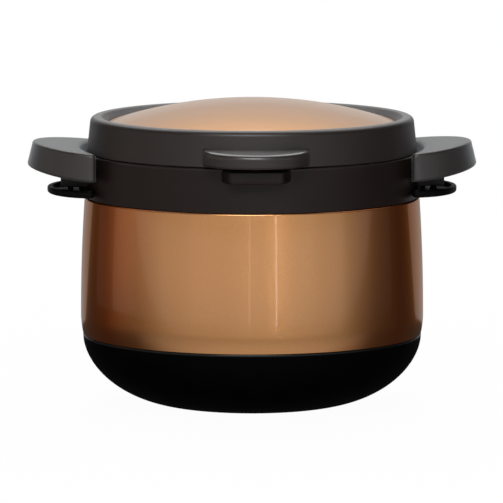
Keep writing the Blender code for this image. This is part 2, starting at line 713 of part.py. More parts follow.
def round_upright_corners(piece, radius):
    """Rounds the upright edges where the slab's side meets its hollowed inner face."""
    work = bmesh.new()
    work.from_mesh(piece.data)
    corners = []
    for edge in work.edges:
        along = (edge.verts[1].co - edge.verts[0].co).normalized()
        if abs(along.z) > math.cos(SHARP_ANGLE) and edge.calc_face_angle(0) > SHARP_ANGLE:
            corners.append(edge)
    bmesh.ops.bevel(work, geom=corners, offset=radius, segments=3, profile=0.5, affect="EDGES")
    work.to_mesh(piece.data)
    work.free()


def make_guard(side):
    """The tray, its recess, and the pad in it that the neck block stands on."""
    turn = 180 if side == "left" else 0
    shape = (GUARD_TIP_REACH, GUARD_HALF_WIDTH, GUARD_ELLIPSE_DEPTH, GUARD_INNER_RADIUS)
    outline = turned_about_z(lobe(*shape), turn)
    guard = plate("grip_guard_" + side, outline, GUARD_BOTTOM, GUARD_TOP, "black_plastic")
    round_edges(guard, GUARD_FILLET)
    inside = turned_about_z(lobe(*shape, shrink=GUARD_RIM), turn)
    recess = plate("guard_recess_" + side, inside, GUARD_BOTTOM + GUARD_FLOOR, GUARD_TOP + OVERRUN)
    half = NECK_BLOCK_WIDTH / 2
    root = GUARD_INNER_RADIUS + GUARD_RIM / 2
    pad = [(root, -half), (NECK_BLOCK_REACH, -half), (NECK_BLOCK_REACH, half), (root, half)]
    pad = plate("guard_pad_" + side, turned_about_z(pad, turn), GUARD_BOTTOM, GUARD_TOP + OVERRUN * 2)
    combine(recess, pad, "DIFFERENCE")
    combine(guard, recess, "DIFFERENCE")
    for name, x, y in screw_places(side):
        sizes = (GRIP_SCREW_HEAD_RADIUS, GRIP_SCREW_RADIUS, GUARD_BOTTOM - OVERRUN)
        seat = GUARD_BOTTOM + GRIP_SCREW_HEAD + SEAT_GAP
        hole = screw_cut("guard_hole_" + name, (x, y), *sizes, seat, GUARD_TOP + OVERRUN)
        combine(guard, hole, "DIFFERENCE")
    settle(guard)


def screw(name, at, head_low, head, head_radius, shank_radius, tip, finish="steel"):
    """A pan-head screw standing on its head, which points down."""
    seat = head_low + head
    path = [(0, tip), (shank_radius, tip), (shank_radius, seat), (head_radius, seat)]
    path += [(head_radius, head_low + head / 3), (head_radius * 3 / 4, head_low), (0, head_low)]
    piece = turned(name, path, SCREW_STEPS, finish)
    piece.location = (at[0], at[1], 0)
    return settle(piece)


def screw_cut(name, at, head_radius, shank_radius, low, seat, top):
    """A tool that cuts a well for a screw's head and a clear hole for its shank."""
    sink = head_radius + SCREW_PLAY
    clear = shank_radius + SCREW_PLAY
    path = [(0, top), (clear, top), (clear, seat), (sink, seat), (sink, low), (0, low)]
    tool = turned(name, path, SCREW_STEPS)
    tool.location = (at[0], at[1], 0)
    return tool


def make_grip_screws():
    for side in ("left", "right"):
        for name, x, y in screw_places(side):
            tip = NECK_BLOCK_TOP + GRIP_SCREW_BITE
            screw(
                "grip_screw_" + name, (x, y), GUARD_BOTTOM, GRIP_SCREW_HEAD,
                GRIP_SCREW_HEAD_RADIUS, GRIP_SCREW_RADIUS, tip
            )


def dome_height(radius):
    """Height of the dome's upper face over a radius."""
    apex = DOME_EDGE + DOME_CURVE_RADIUS - math.sqrt(DOME_CURVE_RADIUS**2 - DOME_RADIUS**2)
    return apex - DOME_CURVE_RADIUS + math.sqrt(DOME_CURVE_RADIUS**2 - radius**2)


def boss_places():
    for i in range(LID_SCREW_COUNT):
        a = LID_SCREW_TURN + math.tau * i / LID_SCREW_COUNT
        yield str(i + 1), LID_SCREW_CIRCLE * math.cos(a), LID_SCREW_CIRCLE * math.sin(a)


def make_lid_ring():
    """Wall, rounded shoulder, flat crest, and the slope down to the ledge that the dome lies on."""
    inner = LID_SHOULDER_RADIUS - LID_WALL
    below = DOME_SHEET + SEAT_GAP
    shoulder_z = LID_CREST - LID_SHOULDER
    crown_low = LID_CREST - LID_CROWN
    path = [(LID_LAND_RADIUS, LID_CREST), (LID_CREST_RADIUS, LID_CREST)]
    reach = LID_SHOULDER_RADIUS - LID_CREST_RADIUS
    for i in range(1, LID_SHOULDER_POINTS):
        a = math.pi / 2 * i / LID_SHOULDER_POINTS
        path.append((LID_CREST_RADIUS + reach * math.sin(a), shoulder_z + LID_SHOULDER * math.cos(a)))
    path += [
        (LID_SHOULDER_RADIUS, shoulder_z),
        (LID_BOTTOM_RADIUS, LID_BOTTOM + LID_FILLET),
        (LID_BOTTOM_RADIUS - LID_FILLET, LID_BOTTOM),
        (LID_BOTTOM_RADIUS - LID_WALL, LID_BOTTOM),
        (inner, crown_low),
        (LID_LAND_RADIUS, crown_low),
        (LEDGE_RADIUS, dome_height(LEDGE_RADIUS) - below - LID_WEB),
        (LEDGE_INNER, dome_height(LEDGE_INNER) - below - LID_WEB),
        (LEDGE_INNER, dome_height(LEDGE_INNER) - below),
        (LEDGE_RADIUS, dome_height(LEDGE_RADIUS) - below),
        (LEDGE_RADIUS, DOME_EDGE),
    ]
    ring = turned("lid_ring", path, OUTER_STEPS, "brown_black_plastic", loop=True)
    outline = lobe(TAB_TIP_REACH, TAB_HALF_WIDTH, TAB_ELLIPSE_DEPTH, LID_ROOT)
    low = LID_BOTTOM + TAB_ABOVE_SEAM
    for side, turn in (("front", -90), ("rear", 90)):
        tab = plate("tab_" + side, turned_about_z(outline, turn), low, low + TAB_THICKNESS)
        round_edges(tab, TAB_FILLET, 3)
        combine(ring, tab, "UNION")
    boss_top = crown_low + LID_WEB / 2
    for name, x, y in boss_places():
        boss = rod("boss_" + name, LID_BOSS_RADIUS, FLANGE_TOP + SEAT_GAP, boss_top, (x, y), SCREW_STEPS)
        combine(ring, boss, "UNION")
        hole_top = FLANGE_TOP + LID_SCREW_BITE + SEAT_GAP * 2
        radius = LID_SCREW_RADIUS + SCREW_PLAY
        hole = rod("boss_hole_" + name, radius, FLANGE_BOTTOM, hole_top, (x, y), SCREW_STEPS)
        combine(ring, hole, "DIFFERENCE")
    settle(ring)


def make_dome():
    """The upper face from the centre out, then the underside back, in fewer points."""
    radii = [DOME_RADIUS * i / (DOME_POINTS - 1) for i in range(DOME_POINTS)]
    path = [(r, dome_height(r)) for r in radii]
    path += [(r, dome_height(r) - DOME_SHEET) for r in [DOME_RADIUS, LEDGE_INNER] + radii[4::-2]]
    settle(turned("lid_dome", path, OUTER_STEPS, "copper_coat"))


def make_lid_liner():
    """A dish with a shallow plug that enters the mouth, a flange that the screws pass, and a
    well in the middle for the knob of the pot's lid."""
    wall = LID_LINER_WALL
    flange_out = LID_BOTTOM_RADIUS - LID_WALL - LID_FLANGE_CLEARANCE
    plug_in = PLUG_RADIUS - wall
    path = [
        (0, WELL_CEILING + wall),
        (KNOB_WELL_RADIUS + wall / 2, WELL_CEILING + wall),
        (WELL_OUT + wall / 2, CEILING + wall),
        (PLUG_RADIUS - wall / 2, CEILING + wall),
        (PLUG_RADIUS, CEILING + wall / 2),
        (PLUG_RADIUS, FLANGE_TOP),
        (flange_out, FLANGE_TOP),
        (flange_out, FLANGE_BOTTOM),
        (PLUG_RADIUS, FLANGE_BOTTOM),
        (PLUG_RADIUS, PLUG_BOTTOM),
        (plug_in, PLUG_BOTTOM),
        (plug_in, CEILING),
        (WELL_OUT - wall / 2, CEILING),
        (KNOB_WELL_RADIUS - wall / 2, WELL_CEILING),
        (0, WELL_CEILING),
    ]
    liner = turned("lid_liner", path, INNER_STEPS, "grey_plastic")
    settle(liner)
    for name, x, y in boss_places():
        sizes = (LID_SCREW_HEAD_RADIUS, LID_SCREW_RADIUS, FLANGE_BOTTOM - SEAT_GAP)
        seat = FLANGE_BOTTOM + LID_SCREW_HEAD + SEAT_GAP * 2
        hole = screw_cut("flange_hole_" + name, (x, y), *sizes, seat, FLANGE_TOP + OVERRUN / 2)
        combine(liner, hole, "DIFFERENCE")
    settle(liner)


def make_lid_seal():
    seal_in = PLUG_RADIUS + SEAT_GAP
    seal_out = seal_in + LID_SEAL_WIDTH
    top = FLANGE_BOTTOM - SEAT_GAP
    path = [
        (seal_out - LID_SEAL_WIDTH / 3, top),
        (seal_out, (top + PLUG_BOTTOM) / 2),
        (seal_out - LID_SEAL_WIDTH / 3, PLUG_BOTTOM),
        (seal_in, PLUG_BOTTOM),
        (seal_in, top),
    ]
    settle(turned("lid_gasket", path, INNER_STEPS, "grey_rubber", loop=True))


def make_foam():
    wall = LID_LINER_WALL
    outer = LEDGE_INNER - FOAM_CLEARANCE
    radii = [outer * i / FOAM_POINTS for i in range(FOAM_POINTS + 1)]
    path = [(r, dome_height(r) - DOME_SHEET - FOAM_CLEARANCE) for r in radii]
    bottom = CEILING + wall + SEAT_GAP
    path += [
        (outer, bottom),
        (WELL_OUT + wall, bottom),
        (KNOB_WELL_RADIUS + wall, WELL_CEILING + wall + SEAT_GAP),
        (0, WELL_CEILING + wall + SEAT_GAP),
    ]
    settle(turned("lid_foam", path, INNER_STEPS, "white_foam"))


def make_lid_screws():
    for name, x, y in boss_places():
        screw(
            "lid_screw_" + name, (x, y), FLANGE_BOTTOM + SEAT_GAP, LID_SCREW_HEAD,
            LID_SCREW_HEAD_RADIUS, LID_SCREW_RADIUS, FLANGE_TOP + LID_SCREW_BITE
        )


def make_pot():
    corner_r = POT_RADIUS - POT_CORNER
    corner_z = POT_UNDERSIDE + POT_CORNER
    inner = arc(corner_r, corner_z, POT_CORNER - POT_WALL, -90, 0, POT_CORNER_POINTS)
    outer = arc(corner_r, corner_z, POT_CORNER, 0, -90, POT_CORNER_POINTS)
    path = [(0, POT_FLOOR)] + inner
    path += [
        (POT_RADIUS - POT_WALL, POT_RIM),
        (POT_RIM_RADIUS - POT_WALL / 2, POT_RIM),
        (POT_RIM_RADIUS, POT_RIM - POT_RIM_THICKNESS / 2),
        (POT_RIM_RADIUS, POT_RIM - POT_RIM_THICKNESS),
        (POT_RADIUS, POT_RIM - POT_RIM_THICKNESS),
    ]
    path += outer + [(0, POT_UNDERSIDE)]
    settle(turned("inner_pot", path, INNER_STEPS, "steel"))
    top = POT_UNDERSIDE - SEAT_GAP
    low = top - DISC_THICKNESS
    disc = [(0, top), (DISC_RADIUS, top), (DISC_RADIUS, low + DISC_CHAMFER)]
    disc += [(DISC_RADIUS - DISC_CHAMFER, low), (0, low)]
    settle(turned("pot_base_disc", disc, INNER_STEPS, "aluminium"))


def side_profile(name, points, half_width):
    """A flat (x, z) outline standing upright, as wide across Y as twice the half width."""
    tool = plate(name, points, -half_width, half_width)
    tool.data.transform(Matrix.Rotation(math.pi / 2, 4, "X"))
    return tool


def make_bracket(side):
    """A curved plate on the pot's wall, a web that passes the rim, and the hinge barrel."""
    name = "pot_bracket_" + side
    top = POT_RIM - BRACKET_DROP
    low = top - BRACKET_HEIGHT
    inner = POT_RADIUS + SEAT_GAP
    outer = inner + BRACKET_PLATE
    ring = [(outer, top), (outer, low), (inner, low), (inner, top)]
    piece = turned(name, ring, INNER_STEPS, "steel", loop=True)
    settle(piece)
    half = BRACKET_WIDTH / 2
    box = [(0, -half), (PIVOT_REACH, -half), (PIVOT_REACH, half), (0, half)]
    combine(piece, plate("bracket_window_" + side, box, low - OVERRUN, top + OVERRUN), "INTERSECT")
    barrel_in = PIVOT_REACH - BARREL_RADIUS / 2
    root = inner + BRACKET_PLATE / 2
    web = [
        (root, top - BRACKET_WEB_DROP),
        (outer, top - BRACKET_WEB_DROP),
        (PIVOT_REACH + BARREL_RADIUS / 2, PIVOT_HEIGHT - BARREL_RADIUS),
        (PIVOT_REACH + BARREL_RADIUS / 2, PIVOT_HEIGHT),
        (barrel_in, PIVOT_HEIGHT),
        (barrel_in, POT_RIM - POT_RIM_THICKNESS * 2),
        (root, top - BRACKET_PLATE),
    ]
    combine(piece, side_profile("bracket_web_" + side, web, BRACKET_WEB_WIDTH / 2), "UNION")
    for part, radius, length, operation in (
        ("barrel", BARREL_RADIUS, BARREL_LENGTH, "UNION"),
        ("bore", BARREL_BORE, BARREL_LENGTH + OVERRUN, "DIFFERENCE"),
    ):
        tool = rod(part + "_" + side, radius, -length / 2, length / 2)
        lay_down = Matrix.Rotation(math.pi / 2, 4, "X")
        tool.data.transform(Matrix.Translation((PIVOT_REACH, 0, PIVOT_HEIGHT)) @ lay_down)
        combine(piece, tool, operation)
    settle(piece)
    if side == "left":
        piece.data.transform(Matrix.Rotation(math.pi, 4, "Z"))


def make_handle(side):
    """A bent wire loop whose two ends turn inward along the hinge axis, inside the barrel."""
    bend = HANDLE_BEND
    wide = HANDLE_HALF_WIDTH
    low = arc(wide - bend, bend, bend, -90, 0, HANDLE_BEND_POINTS)
    high = arc(wide - bend, HANDLE_HEIGHT - bend, bend, 0, 90, HANDLE_BEND_POINTS)
    half = [(HANDLE_END, 0)] + low + high
    route = [(-y, z) for y, z in half] + [(y, z) for y, z in reversed(half)]
    curve = bpy.data.curves.new("pot_handle_" + side, "CURVE")
    curve.dimensions = "3D"
    curve.bevel_depth = HANDLE_WIRE_RADIUS
    curve.bevel_resolution = 2
    curve.use_fill_caps = True
    line = curve.splines.new("POLY")
    line.points.add(len(route) - 1)
    for point, (y, z) in zip(line.points, route):
        point.co = (0, y, z, 1)
    handle = add_piece("pot_handle_" + side, curve, "steel")
    sign = -1 if side == "left" else 1
    handle.location = (sign * PIVOT_REACH, 0, PIVOT_HEIGHT)


def glass_height(radius):
    """Height of the glass's upper face over a radius: a shallow dome that ends in a flat rim."""
    share = min(radius / (GLASS_RADIUS - GLASS_FLAT), 1)
    return GLASS_TOP - GLASS_RISE * share**2


def make_pot_lid():
    edge = GLASS_RADIUS
    span = edge - GLASS_FLAT - GLASS_HOLE_RADIUS
    radii = [GLASS_HOLE_RADIUS + span * i / GLASS_POINTS for i in range(GLASS_POINTS + 1)]
    path = [(r, glass_height(r)) for r in radii] + [(edge, GLASS_EDGE_TOP), (edge, GLASS_EDGE_BOTTOM)]
    path += [(r, glass_height(r) - GLASS_THICKNESS) for r in reversed(radii)]
    settle(turned("pot_lid_glass", path, INNER_STEPS, "clear_glass", loop=True))
    out = BAND_RADIUS
    top = GLASS_EDGE_TOP + SEAT_GAP + BAND_WALL
    path = [
        (out - BAND_WALL / 2, top),
        (out, top - BAND_WALL / 2),
        (out, BAND_BOTTOM),
        (out - BAND_FLANGE, BAND_BOTTOM),
        (out - BAND_FLANGE, BAND_BOTTOM + BAND_WALL),
        (out - BAND_WALL, BAND_BOTTOM + BAND_WALL),
        (out - BAND_WALL, top - BAND_WALL),
        (out - BAND_LIP, top - BAND_WALL),
        (out - BAND_LIP, top),
    ]
    settle(turned("pot_lid_band", path, INNER_STEPS, "steel", loop=True))


def make_knob():
    seal_low = GLASS_TOP + SEAT_GAP
    seal_top = seal_low + KNOB_SEAL_THICKNESS
    foot = seal_top + SEAT_GAP
    hole = KNOB_SCREW_RADIUS + SCREW_PLAY
    top = foot + KNOB_HEIGHT
    bite = foot + KNOB_SCREW_BITE
    body = [(0, top)]
    for radius_share, height_share in KNOB_HEAD_SHARES:
        body.append((KNOB_RADIUS * radius_share, foot + KNOB_HEIGHT * height_share))
    body += [
        (KNOB_WAIST_RADIUS, foot + KNOB_WAIST_TOP),
        (KNOB_WAIST_RADIUS, foot + KNOB_WAIST_LOW),
        (KNOB_FOOT_RADIUS, foot),
        (hole, foot),
        (hole, bite + SEAT_GAP * 2),
        (0, bite + SEAT_GAP * 2),
    ]
    settle(turned("pot_lid_knob", body, SMALL_STEPS, "black_plastic"))
    seal = [(KNOB_FOOT_RADIUS, seal_top), (KNOB_FOOT_RADIUS, seal_low), (hole, seal_low), (hole, seal_top)]
    settle(turned("knob_seal", seal, SMALL_STEPS, "grey_rubber", loop=True))
    washer_top = glass_height(KNOB_WASHER_RADIUS) - GLASS_THICKNESS - SEAT_GAP
    washer_low = washer_top - KNOB_WASHER_THICKNESS
    out = KNOB_WASHER_RADIUS
    washer = [(out, washer_top), (out, washer_low), (hole, washer_low), (hole, washer_top)]
    settle(turned("knob_washer", washer, SMALL_STEPS, "steel", loop=True))
    head_low = washer_low - SEAT_GAP - KNOB_SCREW_HEAD
    screw("knob_screw", (0, 0), head_low, KNOB_SCREW_HEAD, KNOB_SCREW_HEAD_RADIUS, KNOB_SCREW_RADIUS, bite)


clear_scene()
cooker = new_collection("thermal_cooker")
tools = new_collection("cutters", helper=True)
make_base()
make_shell()
make_vacuum_fittings()
make_liner()
make_collar()
for hand in ("left", "right"):
    make_grip(hand)
    make_guard(hand)
    make_bracket(hand)
    make_handle(hand)
make_grip_screws()
make_lid_ring()
make_dome()
make_foam()
make_lid_liner()
make_lid_seal()
make_lid_screws()
make_pot()
make_pot_lid()
make_knob()
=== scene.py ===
"""Looks of the thermal cooker: a copper-coloured vacuum vessel with dark plastic fittings, and
the cooking pot and glass lid that stand inside it. Metres, +Z up, front towards -Y."""

import math
import bmesh
import bpy
import numpy as np
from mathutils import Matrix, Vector


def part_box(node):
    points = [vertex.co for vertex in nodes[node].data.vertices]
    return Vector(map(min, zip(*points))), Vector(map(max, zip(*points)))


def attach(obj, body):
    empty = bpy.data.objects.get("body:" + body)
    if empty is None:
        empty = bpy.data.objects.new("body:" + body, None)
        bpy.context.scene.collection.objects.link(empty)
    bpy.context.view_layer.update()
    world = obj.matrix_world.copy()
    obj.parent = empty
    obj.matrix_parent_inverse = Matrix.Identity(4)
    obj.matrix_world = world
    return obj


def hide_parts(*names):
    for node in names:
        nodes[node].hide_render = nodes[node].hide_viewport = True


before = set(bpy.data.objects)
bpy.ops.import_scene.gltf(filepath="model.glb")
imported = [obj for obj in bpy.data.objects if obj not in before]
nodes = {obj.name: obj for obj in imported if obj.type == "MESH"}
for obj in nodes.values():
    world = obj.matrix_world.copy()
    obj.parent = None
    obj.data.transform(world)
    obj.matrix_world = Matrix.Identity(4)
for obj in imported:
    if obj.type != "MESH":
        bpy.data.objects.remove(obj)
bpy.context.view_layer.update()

# The camera stands a little above the cooker and far back, with a long lens, so that the sides
# of the vessel stay almost parallel, and a touch to the left, so that the tab points to the right.
CAMERA_AIM = Vector((-0.0004, 0, 0.1073))
CAMERA_RISE = math.radians(6.9)
CAMERA_TURN = math.radians(-1.4)
CAMERA_DISTANCE = 4.113
FILM_WIDTH = 36
FRAME_PIXELS = 503
METRES_PER_PIXEL = 0.000702

camera_data = bpy.data.cameras.new("camera")
camera_data.sensor_fit = "HORIZONTAL"
camera_data.sensor_width = FILM_WIDTH
camera_data.lens = FILM_WIDTH * CAMERA_DISTANCE / (FRAME_PIXELS * METRES_PER_PIXEL)
camera_data.clip_end = 100
camera = bpy.data.objects.new("camera", camera_data)
level_share = math.cos(CAMERA_RISE)
toward_x = math.sin(CAMERA_TURN) * level_share
toward_y = -math.cos(CAMERA_TURN) * level_share
camera.location = CAMERA_AIM + CAMERA_DISTANCE * Vector((toward_x, toward_y, math.sin(CAMERA_RISE)))
camera.rotation_euler = (math.pi / 2 - CAMERA_RISE, 0, CAMERA_TURN)
bpy.context.scene.collection.objects.link(camera)
bpy.context.scene.camera = camera
bpy.context.scene.view_settings.view_transform = "Standard"

# The studio is a pale table in a dim room. Soft boxes ring the front like a tent, warm at the
# left and cool at the right, with one high in front, three behind, and two strips for the lines
# on the copper. The camera sees the table white; reflections see a glow painted on it in front and far
# behind.
TABLE_SIZE = 30
TABLE_COLOUR = (0.86, 0.86, 0.86, 1)
TABLE_WHITE_SHARE = 0.97
WHITE_FROM, WHITE_TO = 0.2, 1.4
PLAIN_WHITE = (1, 1, 1, 1)
ROOM_LIGHT = 0.04


class Socket:
    """A shader output that takes part in Python sums, products and powers, each of which adds
    its Math node. node() adds any other node to the same tree."""

    def __init__(self, tree, output=None):
        self.tree = tree
        self.output = output

    def node(self, kind, settings=None, inputs=None, out=0):
        """Adds a node: its settings first, then its sockets' values or links."""
        made = self.tree.nodes.new(kind)
        for key, value in (settings or {}).items():
            setattr(made, key, value)
        for key, value in (inputs or {}).items():
            if isinstance(value, Socket):
                self.tree.links.new(value.output, made.inputs[key])
            else:
                made.inputs[key].default_value = value
        return Socket(self.tree, made.outputs[out])

    def math(self, operation, *values):
        """A Math node on sockets and numbers."""
        return self.node("ShaderNodeMath", {"operation": operation}, dict(enumerate(values)))

    def __add__(self, other):
        return self.math("ADD", self, other)

    def __radd__(self, other):
        return self.math("ADD", other, self)

    def __sub__(self, other):
        return self.math("SUBTRACT", self, other)

    def __rsub__(self, other):
        return self.math("SUBTRACT", other, self)

    def __mul__(self, other):
        return self.math("MULTIPLY", self, other)

    def __rmul__(self, other):
        return self.math("MULTIPLY", other, self)

    def __pow__(self, other):
        return self.math("POWER", self, other)

    def object_point(self):
        """The surface point in the piece's own frame."""
        return self.node("ShaderNodeTexCoord", out="Object")

    def along(self, axis):
        """One coordinate of the surface point: X, Y or Z."""
        return self.node("ShaderNodeSeparateXYZ", None, {"Vector": self.object_point()}, axis)

    def noise(self, scale, detail=3, roughness=0.5, vector=None):
        """Noise from 0 to 1 in lumps of about one over the scale, in metres."""
        inputs = {"Scale": scale, "Detail": detail, "Roughness": roughness}
        inputs["Vector"] = vector or self.object_point()
        return self.node("ShaderNodeTexNoise", None, inputs, "Fac")

    def mixed(self, share, first, second):
        """From the first colour socket to the second as the share goes from 0 to 1."""
        return self.node("ShaderNodeMix", {"data_type": "RGBA"}, {0: share, 6: first, 7: second}, 2)

    def blend(self, share, first, second):
        """From the first colour to the second as the share goes from 0 to 1."""
        return self.mixed(share, (*first, 1), (*second, 1))

    def span(self, value, low, high):
        """The value mapped so that low gives 0 and high gives 1, held within that range."""
        inputs = {"Value": value, "From Min": low, "From Max": high}
        return self.node("ShaderNodeMapRange", {"clamp": True}, inputs)

    def bump(self, height, strength, depth):
        """A normal for a relief that is as deep as the depth where the height is 1."""
        inputs = {"Height": height, "Strength": strength, "Distance": depth}
        return self.node("ShaderNodeBump", None, inputs)


# What reflections see of the table is a glow painted on it, not lamplight: a pool close in
# front, the open table further out in front, and a wedge far behind between two lines that spread from the
# cooker.
POOL_GLOW, FRONT_GLOW, WEDGE_GLOW, DARK_GLOW = 0.48, 0.37, 0.32, 0.05
WEDGE_LEFT_SLOPE, WEDGE_RIGHT_SLOPE, WEDGE_BLUR = 0.84, 1.19, 0.02

table_finish = bpy.data.materials.new("pale_table")
table_finish.use_nodes = True
tree = Socket(table_finish.node_tree)
table_finish.node_tree.nodes.remove(table_finish.node_tree.nodes["Principled BSDF"])
depth = tree.along("Y")
across = tree.along("X")
pool_width = tree.span(across, -0.45, -0.05) * tree.span(across, 0.45, 0.05)
pool = tree.span(depth, -0.10, -0.16) * tree.span(depth, -0.36, -0.26) * pool_width
front = tree.span(depth, -0.30, -0.44)
wedge_left = tree.span(across + WEDGE_LEFT_SLOPE * depth, -WEDGE_BLUR, WEDGE_BLUR)
wedge_right = tree.span(WEDGE_RIGHT_SLOPE * depth - across, -WEDGE_BLUR, WEDGE_BLUR)
wedge = tree.span(depth, 0.33, 0.38) * (wedge_left * wedge_right)
# The strength of the glow painted on the table for reflections.
painted_glow = DARK_GLOW + POOL_GLOW * pool + FRONT_GLOW * front + WEDGE_GLOW * wedge
painted_reflection = tree.node("ShaderNodeEmission", None, {"Color": PLAIN_WHITE, "Strength": painted_glow})
white = tree.node("ShaderNodeEmission", None, {"Color": PLAIN_WHITE, "Strength": 1.0})
matt = tree.node("ShaderNodeBsdfDiffuse", None, {"Color": TABLE_COLOUR})
seen = tree.node("ShaderNodeLightPath", out="Is Camera Ray")
glossy = tree.node("ShaderNodeLightPath", out="Is Glossy Ray")
through = tree.node("ShaderNodeLightPath", out="Is Transmission Ray")
distance = tree.node("ShaderNodeVectorMath", {"operation": "LENGTH"}, {0: tree.object_point()}, "Value")
whiter = (1 - TABLE_WHITE_SHARE) * tree.span(distance, WHITE_FROM, WHITE_TO)
shown = (TABLE_WHITE_SHARE + whiter) * seen.math("MAXIMUM", seen, through)
lit = tree.node("ShaderNodeMixShader", None, {0: glossy, 1: matt, 2: painted_reflection})
surface = tree.node("ShaderNodeMixShader", None, {0: shown, 1: lit, 2: white})
output = table_finish.node_tree.nodes["Material Output"]
table_finish.node_tree.links.new(surface.output, output.inputs["Surface"])

table_mesh = bpy.data.meshes.new("table")
half = TABLE_SIZE / 2
corners = [(-half, -half, 0), (half, -half, 0), (half, half, 0), (-half, half, 0)]
table_mesh.from_pydata(corners, [], [(0, 1, 2, 3)])
table_mesh.materials.append(table_finish)
table = bpy.data.objects.new("table", table_mesh)
bpy.context.scene.collection.objects.link(table)

room = bpy.data.worlds.new("room")
room.use_nodes = True
bpy.context.scene.world = room
tree = Socket(room.node_tree)
seen = tree.node("ShaderNodeLightPath", out="Is Camera Ray")
room_shader = room.node_tree.nodes["Background"]
room_shader.inputs["Color"].default_value = PLAIN_WHITE
strength = ROOM_LIGHT + (1 - ROOM_LIGHT) * seen
room.node_tree.links.new(strength.output, room_shader.inputs["Strength"])


def soft_box(name, turn, distance, width, height, brightness, low=0.0, rise=0, tint=(1, 1, 1)):
    """An area lamp on a circle around the cooker, facing its axis. Its turn is measured from
    the camera towards +X, in degrees, and its lower edge stands at a height. Its power is pi
    times its area times its brightness, where a brightness of 1 is white."""
    data = bpy.data.lights.new(name, "AREA")
    data.shape = "RECTANGLE"
    data.size = width
    data.size_y = height
    data.color = tint
    data.energy = math.pi * width * height * brightness
    lamp = bpy.data.objects.new(name, data)
    a, e = math.radians(turn) + CAMERA_TURN, math.radians(rise)
    lean = height / 2 * math.cos(e)
    lamp.location = (distance * math.sin(a), -distance * math.cos(a), low + lean)
    away = Vector((math.sin(a) * math.cos(e), -math.cos(a) * math.cos(e), math.sin(e)))
    lamp.rotation_euler = away.to_track_quat("Z", "Y").to_euler()
    lamp.visible_camera = False
    bpy.context.scene.collection.objects.link(lamp)


TENT_PITCH, TENT_MIDDLE = 20, -10
TENT_DISTANCE, TENT_WIDTH, TENT_HEIGHT = 0.70, 0.245, 0.45
TENT_LIGHT = (0.09, 0.35, 0.27, 0.32, 0.39, 0.35, 0.32, 0.40, 0.29, 0.09, 0.05)
WARM_TINT, COOL_TINT = (1.0, 0.86, 0.76), (0.97, 1.0, 1.05)
WARM_TURN = -100
STRIP_DISTANCE, STRIP_WIDTH = 0.66, 0.008

for place, brightness in enumerate(TENT_LIGHT):
    turn = TENT_PITCH * (place - len(TENT_LIGHT) // 2) + TENT_MIDDLE
    share = min(max(1 - turn / WARM_TURN, 0), 1)
    tint = tuple(warm + (cool - warm) * share for warm, cool in zip(WARM_TINT, COOL_TINT))
    name = "tent_" + str(place + 1)
    soft_box(name, turn, TENT_DISTANCE, TENT_WIDTH, TENT_HEIGHT, brightness, tint=tint)
soft_box("line_strip", 14.6, STRIP_DISTANCE, STRIP_WIDTH, TENT_HEIGHT, 6.0)
soft_box("faint_strip", -1.5, STRIP_DISTANCE, STRIP_WIDTH, TENT_HEIGHT, 1.8)
soft_box("high_box", -4, 1.5, 1.0, 0.6, 8.5, low=0.98, rise=40)
soft_box("back_wall", 180, 2.2, 2.6, 0.70, 0.72, low=0.18)
soft_box("back_middle", 180, 2.0, 2.4, 0.80, 0.74, low=0.90, rise=30)
soft_box("top_bank", 180, 0.75, 2.2, 1.3, 2.8, low=1.36, rise=72)

# The base cap is a bowl moulded in black plastic and pressed on under the steel shell, with a
# groove below for the foot. Like the other round pieces it is a profile, filleted and turned.
TURN_STEPS = 180
SUPPORT_SHARE = 0.12
SHARP_ANGLE = math.radians(40)
MERGE_DISTANCE = 1e-6
CLEARANCE = 0.0003
FINE_EDGE = 0.0002
SMALL_EDGE = 0.0003


def new_finish(name, **constants):
    """A Principled material: its constant sockets are set here, and the socket that comes back
    with it starts the maths of the ones that vary."""
    material = bpy.data.materials.new(name)
    material.use_nodes = True
    shader = material.node_tree.nodes["Principled BSDF"]
    for key, value in constants.items():
        shader.inputs[key.replace("_", " ")].default_value = value
    return material, shader, Socket(material.node_tree)


def feed(shader, **links):
    """Links sockets to the shader's inputs by name."""
    for key, value in links.items():
        value.tree.links.new(value.output, shader.inputs[key.replace("_", " ")])


def moulded_grain(socket, scale, strength=0.25, depth=0.00004):
    """The fine spark-eroded grain of a moulded plastic face, as a bump."""
    return socket.bump(socket.noise(scale, 2, 0.6), strength, depth)


def unit(rows):
    """Each row of an array of vectors, scaled to a length of 1."""
    return rows / np.linalg.norm(rows, axis=-1, keepdims=True)


def arc_between(centre, start, end, steps):
    """Points on a circle from a start to an end: the centre plus its two radii, weighted by
    sin((1 - t) A) / sin A and sin(t A) / sin A, where A is the angle between them."""
    first, last = start - centre, end - centre
    swing = math.acos(np.clip(unit(first) @ unit(last), -1, 1))
    t = np.linspace(0, 1, steps + 1)[:, None]
    return centre + (np.sin((1 - t) * swing) * first + np.sin(t * swing) * last) / math.sin(swing)


def filleted(corners, closed=False, steps=5):
    """Rounds the corners of a polyline of (radius, height, fillet) rows. Each corner becomes a
    circular arc that touches both its sides, found from the half angle between them, with one
    more point beyond each end so that the flat parts stay flat when shaded."""
    data = np.array(corners, float)
    last = len(data) - 1
    points = []
    for i, (r, z, fillet) in enumerate(data):
        corner = np.array((r, z))
        if fillet == 0 or (not closed and i in (0, last)):
            points.append(corner[None])
            continue
        before = unit(data[i - 1, :2] - corner)
        after = unit(data[(i + 1) % len(data), :2] - corner)
        half_angle = math.acos(np.clip(before @ after, -1, 1)) / 2
        reach = fillet / math.tan(half_angle)
        centre = corner + unit(before + after) * fillet / math.sin(half_angle)
        start = corner + before * reach
        end = corner + after * reach
        beyond = fillet * SUPPORT_SHARE
        points.append((start + before * beyond)[None])
        points.append(arc_between(centre, start, end, steps))
        points.append((end + after * beyond)[None])
    return np.concatenate(points)


